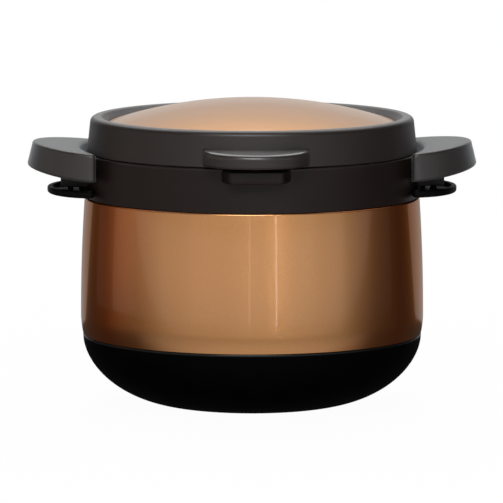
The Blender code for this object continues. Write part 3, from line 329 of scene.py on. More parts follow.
def tube_faces(rows, columns, closed=False):
    """The quads of a grid of points whose columns run all the way round, and whose rows do too
    where it is closed: (i, j), (i, j + 1), (i + 1, j + 1), (i + 1, j)."""
    i = np.arange(rows if closed else rows - 1)[:, None]
    j = np.arange(columns)[None]
    here, below = i * columns, (i + 1) % rows * columns
    beside = (j + 1) % columns
    faces = np.stack([here + j, here + beside, below + beside, below + j], 2)
    return faces.reshape(-1, 4).tolist()


def new_piece(name, points, faces, body, finish, replaced=""):
    """A piece of the object from arrays of points and faces: doubles merged, faces outward,
    shaded smooth except at sharp edges, riding on a body."""
    mesh = bpy.data.meshes.new(name)
    mesh.from_pydata(np.asarray(points, float).tolist(), [], faces)
    work = bmesh.new()
    work.from_mesh(mesh)
    bmesh.ops.remove_doubles(work, verts=work.verts, dist=MERGE_DISTANCE)
    bmesh.ops.recalc_face_normals(work, faces=work.faces)
    work.to_mesh(mesh)
    work.free()
    mesh.materials.append(finish)
    mesh.shade_smooth()
    mesh.set_sharp_from_angle(angle=SHARP_ANGLE)
    piece = bpy.data.objects.new(name, mesh)
    bpy.context.scene.collection.objects.link(piece)
    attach(piece, body)
    if replaced:
        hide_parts(replaced)


def turned(name, profile, body, finish, slot, replaced, closed=False, at=(0, 0), steps=TURN_STEPS):
    """A surface of revolution: point (i, j) is profile point i swung about the axis by j steps,
    (r cos a, r sin a, z). A closed profile makes a ring; an open one starts and ends on the
    axis."""
    a = np.arange(steps) * math.tau / steps
    x = profile[:, :1] * np.cos(a) + at[0]
    y = profile[:, :1] * np.sin(a) + at[1]
    z = np.repeat(profile[:, 1:2], steps, 1)
    points = np.stack([x, y, z], 2).reshape(-1, 3)
    faces = tube_faces(len(profile), steps, closed)
    new_piece(name, points, faces, body, finish, replaced)


cap_low, cap_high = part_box("base_cap")
ring_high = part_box("foot_ring")[1]
cap_radius = cap_high[0]
cap_wall = 0.0025
cap_edge = 0.0008
foot_radius = 0.0536
floor_z = 0.0055
bowl_power = 2 / 1.85
groove_out = ring_high[0] + CLEARANCE
groove_in = groove_out - 0.0080
groove_z = ring_high[2] + CLEARANCE
rim_gleam_low, rim_gleam_high = cap_high[2] - 0.0018, cap_high[2] - 0.0010

base_black, shader, tree = new_finish("base_black", Specular_IOR_Level=0.03, Coat_Roughness=0.3)
mottle = tree.noise(60, 3)
feed(
    shader,
    Base_Color=tree.blend(mottle, (0.0006, 0.0005, 0.0005), (0.0012, 0.0011, 0.0011)),
    Roughness=0.42 + 0.12 * mottle,
    Coat_Weight=tree.span(tree.along("Z"), rim_gleam_low, rim_gleam_high),
    Normal=moulded_grain(tree, 2600),
)

# The bowl's curve is a quarter of a superellipse, from the rim down and in to the foot.
t = np.linspace(0, math.pi / 2, 40)
bowl_top = cap_high[2] - cap_edge
bowl_r = foot_radius + (cap_radius - foot_radius) * np.cos(t).clip(0) ** bowl_power
bowl_z = bowl_top - (bowl_top - cap_low[2]) * np.sin(t) ** bowl_power
bowl = np.stack([bowl_r, bowl_z], 1)
slope = unit(np.gradient(bowl, axis=0))
inward = np.stack([slope[:, 1], -slope[:, 0]], 1)


def bowl_inside(depth, floor):
    """The bowl's curve moved inward by a depth, from a floor up: only its points above it."""
    moved = bowl + inward * depth
    moved = moved[moved[:, 1] > floor]
    return np.concatenate([moved, [[moved[-1, 0] - (moved[-1, 1] - floor), floor]]])[::-1]


inner = bowl_inside(cap_wall, floor_z)
hub = groove_in - cap_wall
cap_rim = filleted(
    [
        (inner[-1, 0], cap_high[2] - cap_wall, 0),
        (inner[-1, 0], cap_high[2], FINE_EDGE),
        (cap_radius, cap_high[2], cap_edge),
        (cap_radius, cap_high[2] - cap_wall, 0),
    ]
)[1:-1]
cap_profile = np.concatenate(
    [
        [(0, cap_low[2] + cap_wall), (hub, cap_low[2] + cap_wall), (hub, floor_z)],
        inner,
        cap_rim,
        bowl[2:],
        [(groove_out, cap_low[2]), (groove_out, groove_z), (groove_in, groove_z)],
        [(groove_in, cap_low[2]), (0, cap_low[2])],
    ]
)
turned("base_bowl", cap_profile, "vessel", base_black, "black_plastic", "base_cap")

# The foot is a ring of black rubber pressed into a groove under the base cap. Only its lower
# millimetre stands proud, with soft edges.
foot_in = groove_in + CLEARANCE
foot_edge = 0.0005

rubber, shader, tree = new_finish("foot_rubber", Roughness=0.8)
dust = tree.noise(240, 4)
feed(
    shader,
    Base_Color=tree.blend(dust, (0.010, 0.010, 0.010), (0.030, 0.029, 0.028)),
    Normal=moulded_grain(tree, 1500, 0.4),
)
foot = filleted(
    [
        (ring_high[0], ring_high[2], FINE_EDGE),
        (ring_high[0], 0, foot_edge),
        (foot_in, 0, foot_edge),
        (foot_in, ring_high[2], FINE_EDGE),
    ],
    closed=True,
)
turned("rubber_foot", foot, "vessel", rubber, "black_rubber", "foot_ring", closed=True)

# The outer shell is drawn steel under a copper-coloured metallic lacquer: a bowed wall with a
# tight shoulder, a bare neck inside the collar, and a lower part hidden by the base cap.
shell_low, shell_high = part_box("outer_shell")
collar_low, collar_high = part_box("collar")
shell_radius = shell_high[0]
shell_top_radius = 0.1174
shell_wall = 0.0010
widest_z = 0.0640
seam_z = cap_high[2] + CLEARANCE
shoulder_z = collar_low[2] - CLEARANCE
shoulder_fillet = 0.0010
neck_radius = 0.1124

copper, shader, tree = new_finish(
    "copper_lacquer", Metallic=1.0, Specular_Tint=(1, 0.80, 0.45, 1), Coat_Roughness=0.05
)
glint = tree.span(tree.noise(1500, 3), 0.3, 0.7)
cloud = tree.noise(9, 3)
grain = 0.6 * glint + 0.4 * cloud
lacquer_depth = tree.span(tree.node("ShaderNodeLayerWeight", out="Facing"), 0.15, 0.5)
pale = tree.blend(grain, (0.72, 0.330, 0.122), (0.86, 0.410, 0.156))
deep = tree.blend(grain, (0.56, 0.108, 0.008), (0.68, 0.138, 0.013))
feed(
    shader,
    Base_Color=tree.mixed(lacquer_depth, pale, deep),
    Roughness=0.28 + 0.04 * glint,
    Coat_Weight=0.70 + 0.1 * cloud,
    Normal=tree.bump(glint, 0.05, 0.00001),
)

# Above its widest height the wall's radius falls as the square of the way up to the shoulder,
# and below it as the square of the way down to the seam with the base cap.
t = np.linspace(0, 1, 24)[:, None]
wall_top = shoulder_z - shoulder_fillet
wall_z = wall_top + (widest_z - wall_top) * t
wall_r = shell_radius - (shell_radius - shell_top_radius) * (1 - t) ** 2
t = np.linspace(0, 1, 8)[1:, None]
lower_z = widest_z + (seam_z - widest_z) * t
lower_r = shell_radius - (shell_radius - cap_radius) * t**2
outside = bowl_inside(cap_wall + CLEARANCE, shell_low[2])[::-1]
inside = bowl_inside(cap_wall + CLEARANCE + shell_wall, shell_low[2] + shell_wall)
shoulder = filleted(
    [
        (neck_radius, shoulder_z, 0),
        (shell_top_radius, shoulder_z, shoulder_fillet),
        (shell_top_radius + shoulder_fillet / 10, shoulder_z - 4 * shoulder_fillet, 0),
    ],
    steps=8,
)[1:-2]
shell_profile = np.concatenate(
    [
        [(0, shell_low[2] + shell_wall)],
        inside,
        [
            (inside[-1, 0], seam_z + shell_wall),
            (cap_radius - shell_wall, seam_z + shell_wall),
            (shell_radius - shell_wall, widest_z),
            (shell_top_radius - shell_wall, shoulder_z - shell_wall),
            (neck_radius - shell_wall, shoulder_z - shell_wall),
            (neck_radius - shell_wall, shell_high[2]),
            (neck_radius, shell_high[2]),
            (neck_radius, shoulder_z),
        ],
        shoulder,
        np.hstack([wall_r, wall_z]),
        np.hstack([lower_r, lower_z]),
        [(outside[0, 0], seam_z)],
        outside,
        [(0, shell_low[2])],
    ]
)
turned("copper_shell", shell_profile, "vessel", copper, "copper_coat", "outer_shell")

# In the vacuum space and under it: a steel disc that seals the pump-out hole, and the getter
# pill on the shell's floor. Neither shows unless the vessel is cut open.


def dress(node, finish):
    """Puts a finish on a node that keeps its own mesh."""
    nodes[node].data.materials.clear()
    nodes[node].data.materials.append(finish)


def worn_metal(name, scale, detail, dark, pale, roughness, wear_share):
    """Bare metal: one noise takes its colour from dark to pale and adds to its roughness."""
    material, shader, tree = new_finish(name, Metallic=1.0)
    wear = tree.noise(scale, detail)
    feed(shader, Base_Color=tree.blend(wear, dark, pale), Roughness=roughness + wear_share * wear)
    return material


plain_steel = worn_metal("plain_steel", 300, 4, (0.55, 0.54, 0.53), (0.66, 0.65, 0.64), 0.30, 0.15)
dress("vacuum_seal_cap", plain_steel)
dress("getter", plain_steel)

# The inner liner is deep-drawn stainless steel, brushed round and round. Its top edge turns out
# over the shell's neck, where the real vessel is welded.
liner_low, liner_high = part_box("inner_liner")
liner_radius = 0.1072
liner_wall = 0.0008
liner_corner = 0.0340
liner_floor = liner_low[2] + liner_wall
lip_height = 0.0100
lip_round = 0.0009


def brushed(name, tint, roughness, fineness=1500):
    """Steel brushed round its axis: noise that changes fast with radius and height and not at
    all around, as stretched lines in the colour, the roughness and the bump."""
    material, shader, tree = new_finish(name, Metallic=1.0)
    x, y, z = tree.along("X"), tree.along("Y"), tree.along("Z")
    radius = (x * x + y * y) ** 0.5
    lines = tree.node("ShaderNodeCombineXYZ", None, {"X": radius, "Y": z}, "Vector")
    streak = tree.noise(fineness, 3, 0.7, lines)
    smudge = tree.noise(30, 3)
    feed(
        shader,
        Base_Color=tree.blend(streak, tint, tuple(1.12 * part for part in tint)),
        Roughness=roughness + 0.14 * streak + 0.08 * smudge,
        Normal=tree.bump(streak, 0.25, 0.00002),
    )
    return material


def quarter_arc(centre, radius, count):
    """A quarter circle in the profile's plane, from straight down to straight out: the centre
    plus radius times (cos a, sin a), for a from -90 to 0 degrees."""
    a = np.linspace(-math.pi / 2, 0, count)
    return np.array(centre) + radius * np.stack([np.cos(a), np.sin(a)], 1)


liner_steel = brushed("liner_steel", (0.56, 0.55, 0.54), 0.22)
liner_centre = (liner_radius - liner_corner, liner_floor + liner_corner)
lip = filleted(
    [
        (liner_radius, liner_high[2] - lip_height, 0),
        (liner_radius, liner_high[2], lip_round),
        (liner_high[0], liner_high[2], SMALL_EDGE),
        (liner_high[0], liner_high[2] - liner_wall, SMALL_EDGE),
        (liner_radius + liner_wall, liner_high[2] - liner_wall, SMALL_EDGE),
        (liner_radius + liner_wall, liner_centre[1] + lip_height, 0),
    ]
)
liner_profile = np.concatenate(
    [
        [(0, liner_floor)],
        quarter_arc(liner_centre, liner_corner, 24),
        lip,
        quarter_arc(liner_centre, liner_corner + liner_wall, 24)[::-1],
        [(0, liner_low[2])],
    ]
)
turned("steel_liner", liner_profile, "vessel", liner_steel, "steel", "inner_liner")

# The collar is one dark brown-black moulding round the mouth, with a flange over the liner's
# lip. A lug stands out at the front and the rear, and a square neck at each side for the grips.
collar_bottom_radius = 0.1168
collar_top_radius = 0.1157
collar_fillet = 0.0013
collar_bore = neck_radius + CLEARANCE
mouth_radius = 0.1068
shelf_z = collar_high[2] - 0.0027
rubbed_from, rubbed_to = collar_high[2] - 0.0020, collar_high[2] - 0.0010
stub_root = 0.1142


def satin_plastic(name, dark, pale, gloss, roughness, haze=0, polish=None):
    """Brown-black moulded plastic: a slow drift between two shades, a roughness that changes
    over a millimetre or two, a fine grain, and a grey haze where it is seen at a low angle.
    Polish is a function that works out in the material's tree how far it is rubbed smooth."""
    material, shader, tree = new_finish(
        name,
        Specular_IOR_Level=gloss,
        Sheen_Weight=haze,
        Sheen_Roughness=0.4,
        Sheen_Tint=(0.86, 0.95, 1, 1),
        Coat_Roughness=0.18,
    )
    feed(
        shader,
        Base_Color=tree.blend(tree.noise(22, 3), dark, pale),
        Roughness=roughness + 0.08 * tree.noise(700, 3),
        Normal=moulded_grain(tree, 2400, 0.3, 0.00005),
    )
    if polish:
        feed(shader, Coat_Weight=polish(tree))
    return material


def rubbed_edge(tree):
    """Strongest at the collar's rounded upper edge, nothing 2 mm below it."""
    return 0.7 * tree.span(tree.along("Z"), rubbed_from, rubbed_to)


# Darker shades than the lid ring's, though it is the same plastic: painted shade.
collar_dark, collar_pale = (0.0092, 0.0047, 0.0033), (0.0125, 0.0067, 0.0049)
collar_satin_painted_shade = satin_plastic("collar_satin_painted_shade", collar_dark, collar_pale, 0.26, 0.34, polish=rubbed_edge)
collar_profile = filleted(
    [
        (collar_top_radius, collar_high[2], collar_fillet),
        (collar_bottom_radius, collar_low[2], SMALL_EDGE),
        (collar_bore, collar_low[2], FINE_EDGE),
        (collar_bore, shelf_z, FINE_EDGE),
        (mouth_radius, shelf_z, SMALL_EDGE),
        (mouth_radius, collar_high[2], collar_fillet),
    ],
    closed=True,
)
turned("collar_ring", collar_profile, "vessel", collar_satin_painted_shade, "brown_black_plastic", "collar", closed=True)

# The lugs and the necks are slabs on the collar's wall. So are the grips, the guards and the
# lid's tabs further on.
EDGE_STEPS = 6
FACE_STEPS = 6


def edge_rows(round_low, round_top, rim):
    """The rows of a slab's wall as (inset, climb, shift): a quarter circle at the foot, one at
    the top, and with a rim two more that lead over its crown and down to the tray's floor."""
    a = np.linspace(0, math.pi / 2, EDGE_STEPS + 1)
    turns = list(zip(np.sin(a), np.cos(a)))
    rows = [(round_low * (1 - s), 0, round_low * (1 - c)) for s, c in turns]
    rows += [(0, 0, round_low * 1.1), (0, 1, -round_top * 1.1)]
    rows += [(round_top * (1 - c), 1, -round_top * (1 - s)) for s, c in turns]
    if rim:
        width, soft, depth = rim
        crown = width - soft
        rows += [(crown + soft * s, 1, -soft * (1 - c)) for s, c in turns]
        rows += [(width, 1, soft - depth)]
        rows += [(width + soft * (1 - c), 1, -depth + soft * (1 - s)) for s, c in turns]
    return rows


def slab(name, edge_lines, heights, rounds, look, turn, replaced="", flare=0, rim=None):
    """A slab with soft edges between an outer and an inner edge line, both lists of (x, y) with
    as many points, in step with each other. Row j of its wall is that closed outline moved
    inward by row j's inset, (x, y) - n inset, at its height between low(x) and high(x). The
    top and the bottom are ladders of quads from the outer line to the inner one. A flare widens
    the outer side downwards, and a rim of (width, edge, depth) sinks the top inside it."""
    (outer, inner), (low, high), (body, finish, slot) = edge_lines, heights, look
    outline = np.concatenate([outer, inner[::-1]])
    count = len(outer)
    tangent = unit(unit(np.roll(outline, -1, 0) - outline) + unit(outline - np.roll(outline, 1, 0)))
    normal = np.stack([tangent[:, 1], -tangent[:, 0]], 1)
    rows = edge_rows(*rounds, rim)
    inset, climb, shift = (np.array(column)[:, None] for column in zip(*rows))
    spread = inset - flare * (1 - climb) * np.clip(normal[:, 0], 0, 1)
    x = outline[:, 0] - normal[:, 0] * spread
    y = outline[:, 1] - normal[:, 1] * spread
    z = low(x) * (1 - climb) + high(x) * climb + shift
    points = [np.stack([x, y, z], 2).reshape(-1, 3)]
    faces = tube_faces(len(rows), len(outline))
    for row, face_height, face_shift in ((0, low, 0), (len(rows) - 1, high, rows[-1][2])):
        first = np.stack([x[row, :count], y[row, :count]], 1)
        second = np.stack([x[row, count:][::-1], y[row, count:][::-1]], 1)
        share = np.linspace(0, 1, FACE_STEPS + 1)[:, None, None]
        ladder = first * (1 - share) + second * share
        height = face_height(ladder[:, :, 0]) + face_shift
        base = sum(len(block) for block in points)
        points.append(np.concatenate([ladder, height[:, :, None]], 2).reshape(-1, 3))
        k = np.arange(FACE_STEPS)[:, None] * count
        m = np.arange(count - 1)[None]
        cells = np.stack([k + m, k + m + 1, k + count + m + 1, k + count + m], 2)
        faces += (base + cells.reshape(-1, 4)).tolist()
    points = np.concatenate(points)
    c, s = math.cos(math.radians(turn)), math.sin(math.radians(turn))
    points[:, :2] = points[:, :2] @ np.array([[c, s], [-s, c]])
    new_piece(name, points, faces, body, finish, replaced)


def level(height):
    """A flat face at one height."""
    return lambda x: height + 0 * x


def root_line(radius, half_width, count):
    """Points on a round wall from -Y to +Y, where something that sticks out along +X meets it."""
    span = math.asin(half_width / radius)
    a = np.linspace(-span, span, count)
    return np.stack([radius * np.cos(a), radius * np.sin(a)], 1)


def stub_lines(base_half, reach, face_half, corner):
    """The edge lines of a stub on the collar: straight sides from its root to its outer face,
    where the two corners are rounded, and the round wall behind it."""
    outer = filleted(
        [
            (stub_root, -base_half, 0),
            (reach, -face_half, corner),
            (reach, face_half, corner),
            (stub_root, base_half, 0),
        ],
        steps=6,
    )
    return outer, root_line(stub_root, base_half, len(outer))


lug_reach = collar_bottom_radius + 0.0110
lug_base_half = 0.0235
lug_face_half = 0.0180
lug_corner = 0.0040
lug_top = collar_high[2] - 0.0010
lug_height = 0.0088
lug_rounds = (0.0020, 0.0012)
neck_reach = collar_high[0]
neck_half = 0.0160
neck_corner = 0.0010
neck_top = 0.1716
neck_rounds = (0.0004, 0.0004)
guard_low, guard_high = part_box("grip_guard_right")

ends = (("front", -90), ("rear", 90))
sides = (("right", 0), ("left", 180))
collar_look = ("vessel", collar_satin_painted_shade, "brown_black_plastic")
lug_lines = stub_lines(lug_base_half, lug_reach, lug_face_half, lug_corner)
lug_heights = (level(lug_top - lug_height), level(lug_top))
for side, turn in ends:
    slab("collar_lug_" + side, lug_lines, lug_heights, lug_rounds, collar_look, turn)
neck_lines = stub_lines(neck_half, neck_reach, neck_half, neck_corner)
neck_heights = (level(guard_high[2] + CLEARANCE), level(neck_top))
for side, turn in sides:
    slab("collar_neck_" + side, neck_lines, neck_heights, neck_rounds, collar_look, turn)

# The collar's gasket is a flat ring of grey silicone between its flange and the liner's lip.
# It is moulded soft, so its faces are matt and a little cloudy.
silicone, shader, tree = new_finish("grey_silicone", Roughness=0.55, Subsurface_Weight=0.05)
bloom = tree.noise(80, 3)
feed(
    shader,
    Base_Color=tree.blend(bloom, (0.16, 0.16, 0.165), (0.22, 0.22, 0.225)),
    Normal=moulded_grain(tree, 1800, 0.2),
)
dress("collar_gasket", silicone)

# Each side grip is a hollow D-shaped moulding screwed up from below over the collar's neck. Its
# top slopes up outwards, its wall flares to the underside, and its edges are softly rounded.
lid_low, lid_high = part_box("lid_ring")
grip_flare = 0.0032
grip_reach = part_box("grip_right")[1][0]
grip_top_reach = grip_reach - grip_flare
grip_depth = 0.0504
grip_half = 0.0560
grip_root = 0.1208
grip_corner = 0.0030
grip_rounds = (0.0018, 0.0024)
grip_root_top = lid_low[2] + 0.0038
grip_thickness = 0.0199
grip_top_slope = 0.112
grip_under_slope = 0.100
grip_under_sag = 0.0025


def lobe_lines(reach, half_width, depth, root, corner, count=48, corner_count=8):
    """The outer and inner edges of half an ellipse on a round wall, with the sharp corner
    between them rounded by an arc whose centre lies one corner radius from both."""
    centre_x = reach - depth
    a = np.linspace(0, math.pi / 2, 400)
    ellipse = np.stack([centre_x + depth * np.cos(a), half_width * np.sin(a)], 1)
    out = unit(np.stack([half_width * np.cos(a), depth * np.sin(a)], 1))
    inside = ellipse - out * corner
    turn = np.interp(-(root + corner), -np.linalg.norm(inside, axis=1), a)
    touch = np.array((centre_x + depth * math.cos(turn), half_width * math.sin(turn)))
    middle = touch - corner * unit(np.array((half_width * math.cos(turn), depth * math.sin(turn))))
    foot = unit(middle) * root
    arc = arc_between(middle, touch, foot, corner_count)
    half_arc = corner_count // 2
    e = np.linspace(-turn, turn, count)
    face = np.stack([centre_x + depth * np.cos(e), half_width * np.sin(e)], 1)
    flip = np.array((1, -1))
    outer = np.concatenate([arc[1 : half_arc + 1][::-1] * flip, face, arc[1 : half_arc + 1]])
    wall = root_line(root, foot[1], count + 2)[1:-1]
    inner = np.concatenate([arc[half_arc + 1 :] * flip, wall, arc[half_arc + 1 :][::-1]])
    return outer, inner


def grip_top(x):
    """A plane that climbs outwards."""
    return grip_root_top + grip_top_slope * (x - collar_top_radius)


def grip_bottom(x):
    """A plane that climbs less, plus a sag that grows as the square of the way out."""
    out = x - collar_top_radius
    part = out / (grip_reach - collar_top_radius)
    plane = grip_root_top - grip_thickness + grip_under_slope * out
    return plane + grip_under_sag * part * np.abs(part)


# Lighter shades than the lid ring's, though it is the same plastic: painted light.
grip_dark, grip_pale = (0.0135, 0.0088, 0.0072), (0.0180, 0.0122, 0.0101)
grip_satin_painted_light = satin_plastic("grip_satin_painted_light", grip_dark, grip_pale, 0.90, 0.36, haze=0.30)
grip_look = ("vessel", grip_satin_painted_light, "brown_black_plastic")
grip_lines = lobe_lines(grip_top_reach, grip_half, grip_depth, grip_root, grip_corner)
grip_heights = (grip_bottom, grip_top)
for side, turn in sides:
    name, node = "grip_shell_" + side, "grip_" + side
    slab(name, grip_lines, grip_heights, grip_rounds, grip_look, turn, node, flare=grip_flare)

# Under each grip is a thin guard plate moulded in black plastic, a D-shaped tray with a raised
# rim. The collar's neck stands on it, and the grip's screws pass up through both.
guard_reach = guard_high[0]
guard_depth = 0.0344
guard_half = 0.0450
guard_root = 0.1176
guard_corner = 0.0035
guard_rounds = (0.0018, 0.0012)
guard_rim_width = 0.0036
guard_rim_edge = 0.0006
guard_floor = 0.0020

guard_dark, guard_pale = (0.0028, 0.0025, 0.0025), (0.0048, 0.0044, 0.0044)
guard_satin = satin_plastic("guard_satin", guard_dark, guard_pale, 0.05, 0.42)
guard_look = ("vessel", guard_satin, "black_plastic")
guard_lines = lobe_lines(guard_reach, guard_half, guard_depth, guard_root, guard_corner)
guard_heights = (level(guard_low[2]), level(guard_high[2]))
guard_rim = (guard_rim_width, guard_rim_edge, guard_high[2] - guard_low[2] - guard_floor)
for side, turn in sides:
    name, node = "guard_tray_" + side, "grip_guard_" + side
    slab(name, guard_lines, guard_heights, guard_rounds, guard_look, turn, node, rim=guard_rim)

# The screws are pan heads that point up: two of dark steel through each guard and neck into
# the grip, one of plain steel in the knob and three in the outer lid.
SCREW_STEPS = 32

black_dark, black_pale = (0.012, 0.011, 0.011), (0.030, 0.028, 0.027)
dark_steel = worn_metal("dark_screw_steel", 300, 3, black_dark, black_pale, 0.34, 0.14)


def pan_head(low, high, head_radius, head, shank_radius):
    """The profile of a screw that points up, from its tip down to its domed head with a
    recess. Head heights and widths are shares of the head's own sizes."""
    seat = low + head
    brim = low + head * 0.45
    socket = low + head * 0.3
    return np.concatenate(
        [
            [(0, high), (shank_radius * 0.6, high), (shank_radius, high - shank_radius * 0.6)],
            [(shank_radius, seat), (head_radius, seat), (head_radius, brim)],
            [(head_radius * c, low + head * 0.45 * (1 - s)) for s, c in ((0.6, 0.8), (0.9, 0.45))],
            [(head_radius * 0.3, low), (head_radius * 0.26, socket), (0, socket)],
        ]
    )


screw_kinds = {
    "grip_screw": ("vessel", dark_steel, 0.0022, 0.0019),
    "knob_screw": ("glass_lid", plain_steel, 0.0024, 0.0021),
    "lid_screw": ("outer_lid", plain_steel, 0.0012, 0.0013),
}
for kind, (body, finish, head, shank) in screw_kinds.items():
    for node in sorted(name for name in nodes if name.startswith(kind)):
        low, high = (Vector(corner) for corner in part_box(node))
        middle = (low + high) / 2
        profile = pan_head(low.z, high.z, (high.x - low.x) / 2, head, shank)
        place = (middle.x, middle.y)
        turned(node + "_steel", profile, body, finish, "steel", node, at=place, steps=SCREW_STEPS)

# The cooking pot is spun from stainless steel, with a rolled rim. A thick clad disc under it
# spreads the heat of a hob, and two steel brackets are welded to its wall for the handles.
pot_low, pot_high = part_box("inner_pot")
disc_low, disc_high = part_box("pot_base_disc")
pot_radius = 0.0950
pot_wall = 0.0010
pot_corner = 0.0220
rim_radius = pot_high[0]
rim_thick = 0.0014
rim_height = 0.0200
rim_edge = 0.0006
rim_round = 0.0008
disc_edge = 0.0008

pot_steel = brushed("pot_steel", (0.60, 0.59, 0.58), 0.16)
pot_centre = (pot_radius - pot_corner, pot_low[2] + pot_corner)
pot_rim = filleted(
    [
        (pot_radius - pot_wall, pot_high[2] - rim_height, 0),
        (pot_radius - pot_wall, pot_high[2], rim_round),
        (rim_radius, pot_high[2], rim_edge),
        (rim_radius, pot_high[2] - rim_thick, rim_edge),
        (pot_radius, pot_high[2] - rim_thick, SMALL_EDGE),
        (pot_radius, pot_high[2] - rim_height, 0),
    ]
)
pot_profile = np.concatenate(
    [
        [(0, pot_low[2] + pot_wall)],
        quarter_arc(pot_centre, pot_corner - pot_wall, 20),
        pot_rim,
        quarter_arc(pot_centre, pot_corner, 20)[::-1],
        [(0, pot_low[2])],
    ]
)
turned("steel_pot", pot_profile, "cooking_pot", pot_steel, "steel", "inner_pot")
clad = brushed("clad_disc", (0.66, 0.66, 0.67), 0.30, fineness=5000 / 6)
disc_profile = filleted(
    [
        (0, disc_high[2], 0),
        (disc_high[0], disc_high[2], SMALL_EDGE),
        (disc_high[0], disc_low[2], disc_edge),
        (0, disc_low[2], 0),
    ]
)
turned("pot_disc", disc_profile, "cooking_pot", clad, "aluminium", "pot_base_disc")
dress("pot_bracket_left", plain_steel)
dress("pot_bracket_right", plain_steel)

# The pot's two handles are loops of bright steel wire. Their ends turn inward into the
# brackets' barrels, so that the loops fold over the glass lid.
WIRE_SIDES = 24
wire_radius = 0.0020
wire_end = 0.0030
loop_half = 0.0255
loop_height = 0.0172
loop_bend = 0.0055
pivot_z = 0.1560

bright_wire = worn_metal("bright_wire", 500, 3, (0.62, 0.61, 0.60), (0.74, 0.73, 0.72), 0.16, 0.12)
half_path = filleted(
    [
        (-wire_end, 0, 0),
        (-loop_half, 0, loop_bend),
        (-loop_half, loop_height, loop_bend),
        (0, loop_height, 0),
    ],
    steps=10,
)
wire_path = np.concatenate([half_path, half_path[:-1][::-1] * (-1, 1)])


def wire_loop(node, body):
    """A round wire along the path in the Y-Z plane: point (i, j) is path point i plus the
    wire's radius times (cos a) X + (sin a) (tangent x X)."""
    low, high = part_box(node)
    tangent = unit(np.gradient(wire_path, axis=0))
    a = np.arange(WIRE_SIDES) * math.tau / WIRE_SIDES
    round_x = (low[0] + high[0]) / 2 + wire_radius * np.cos(a)
    x = np.repeat(round_x[None], len(wire_path), 0)
    y = wire_path[:, :1] + wire_radius * np.sin(a) * tangent[:, 1:2]
    z = pivot_z + wire_path[:, 1:2] - wire_radius * np.sin(a) * tangent[:, :1]
    points = np.stack([x, y, z], 2).reshape(-1, 3)
    faces = tube_faces(len(wire_path), WIRE_SIDES)
    faces += [list(range(WIRE_SIDES))[::-1], list(range(len(points) - WIRE_SIDES, len(points)))]
    new_piece(node + "_wire", points, faces, body, bright_wire, node)


for side in ("left", "right"):
    wire_loop("pot_handle_" + side, "handle_" + side)

# The pot's lid is a domed disc of tempered glass with a ground edge and a hole at its middle.
# Its crown falls as the square of the way out to a flat edge.
glass_low, glass_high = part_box("pot_lid_glass")
glass_thick = 0.0031
glass_rise = 0.0105
glass_flat = 0.0040
glass_step = 0.0005
glass_edge = 0.0010
hole_radius = 0.0034

clear_glass, shader, tree = new_finish("tempered_glass", Transmission_Weight=1.0, IOR=1.5)
film = tree.noise(14, 3)
feed(
    shader,
    Base_Color=tree.blend(film, (0.93, 0.97, 0.96), (0.97, 0.99, 0.985)),
    Roughness=0.02 + 0.05 * tree.span(film, 0.45, 0.8),
)
crown_radius = glass_high[0] - glass_flat
r = np.linspace(hole_radius, crown_radius, 40)
crown = glass_high[2] - glass_rise * (r / crown_radius) ** 2
glass_rim = filleted(
    [
        (crown_radius + glass_step, glass_low[2] + glass_thick, 0),
        (glass_high[0], glass_low[2] + glass_thick, glass_edge),
        (glass_high[0], glass_low[2], glass_edge),
        (crown_radius + glass_step, glass_low[2], 0),
    ]
)
glass_under = np.stack([r, crown - glass_thick], 1)[::-1]
glass_profile = np.concatenate([np.stack([r, crown], 1), glass_rim, glass_under])
turned("domed_glass", glass_profile, "glass_lid", clear_glass, "clear_glass", "pot_lid_glass", closed=True)

# The band is a strip of stainless steel rolled round the glass lid's edge: a lip above, a wall
# outside, and a flange below that turns in under the glass.
band_low, band_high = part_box("pot_lid_band")
band_out = band_high[0]
band_wall = 0.0008
band_flange = 0.0055
band_lip = 0.0037
band_top_edge = 0.0007
band_foot_edge = 0.0005

band_steel = brushed("band_steel", (0.62, 0.61, 0.60), 0.14)
band_profile = filleted(
    [
        (band_out, band_high[2], band_top_edge),
        (band_out, band_low[2], band_foot_edge),
        (band_out - band_flange, band_low[2], SMALL_EDGE),
        (band_out - band_flange, band_low[2] + band_wall, SMALL_EDGE),
        (band_out - band_wall, band_low[2] + band_wall, FINE_EDGE),
        (band_out - band_wall, band_high[2] - band_wall, FINE_EDGE),
        (band_out - band_lip, band_high[2] - band_wall, SMALL_EDGE),
        (band_out - band_lip, band_high[2], SMALL_EDGE),
    ],
    closed=True,
)
turned("steel_band", band_profile, "glass_lid", band_steel, "steel", "pot_lid_band", closed=True)

# The knob is moulded in black plastic, a broad cap on a slim neck. A screw, a steel washer and
# a silicone seal clamp it through the hole in the glass.
knob_low, knob_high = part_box("pot_lid_knob")
knob_radius = knob_high[0]
knob_neck = 0.0095
knob_foot = 0.0110
knob_bore = 0.0024
knob_bore_top = knob_low[2] + 0.0101
KNOB_STEPS = 96

knob_plastic, shader, tree = new_finish("knob_black")
feed(
    shader,
    Base_Color=tree.blend(tree.noise(50, 2), (0.012, 0.012, 0.012), (0.020, 0.019, 0.019)),
    Roughness=0.30 + 0.10 * tree.noise(400, 3),
    Normal=moulded_grain(tree, 2600, 0.2),
)


def up_knob(share):
    """The height at a share of the way up the knob."""
    return knob_low[2] + share * (knob_high[2] - knob_low[2])


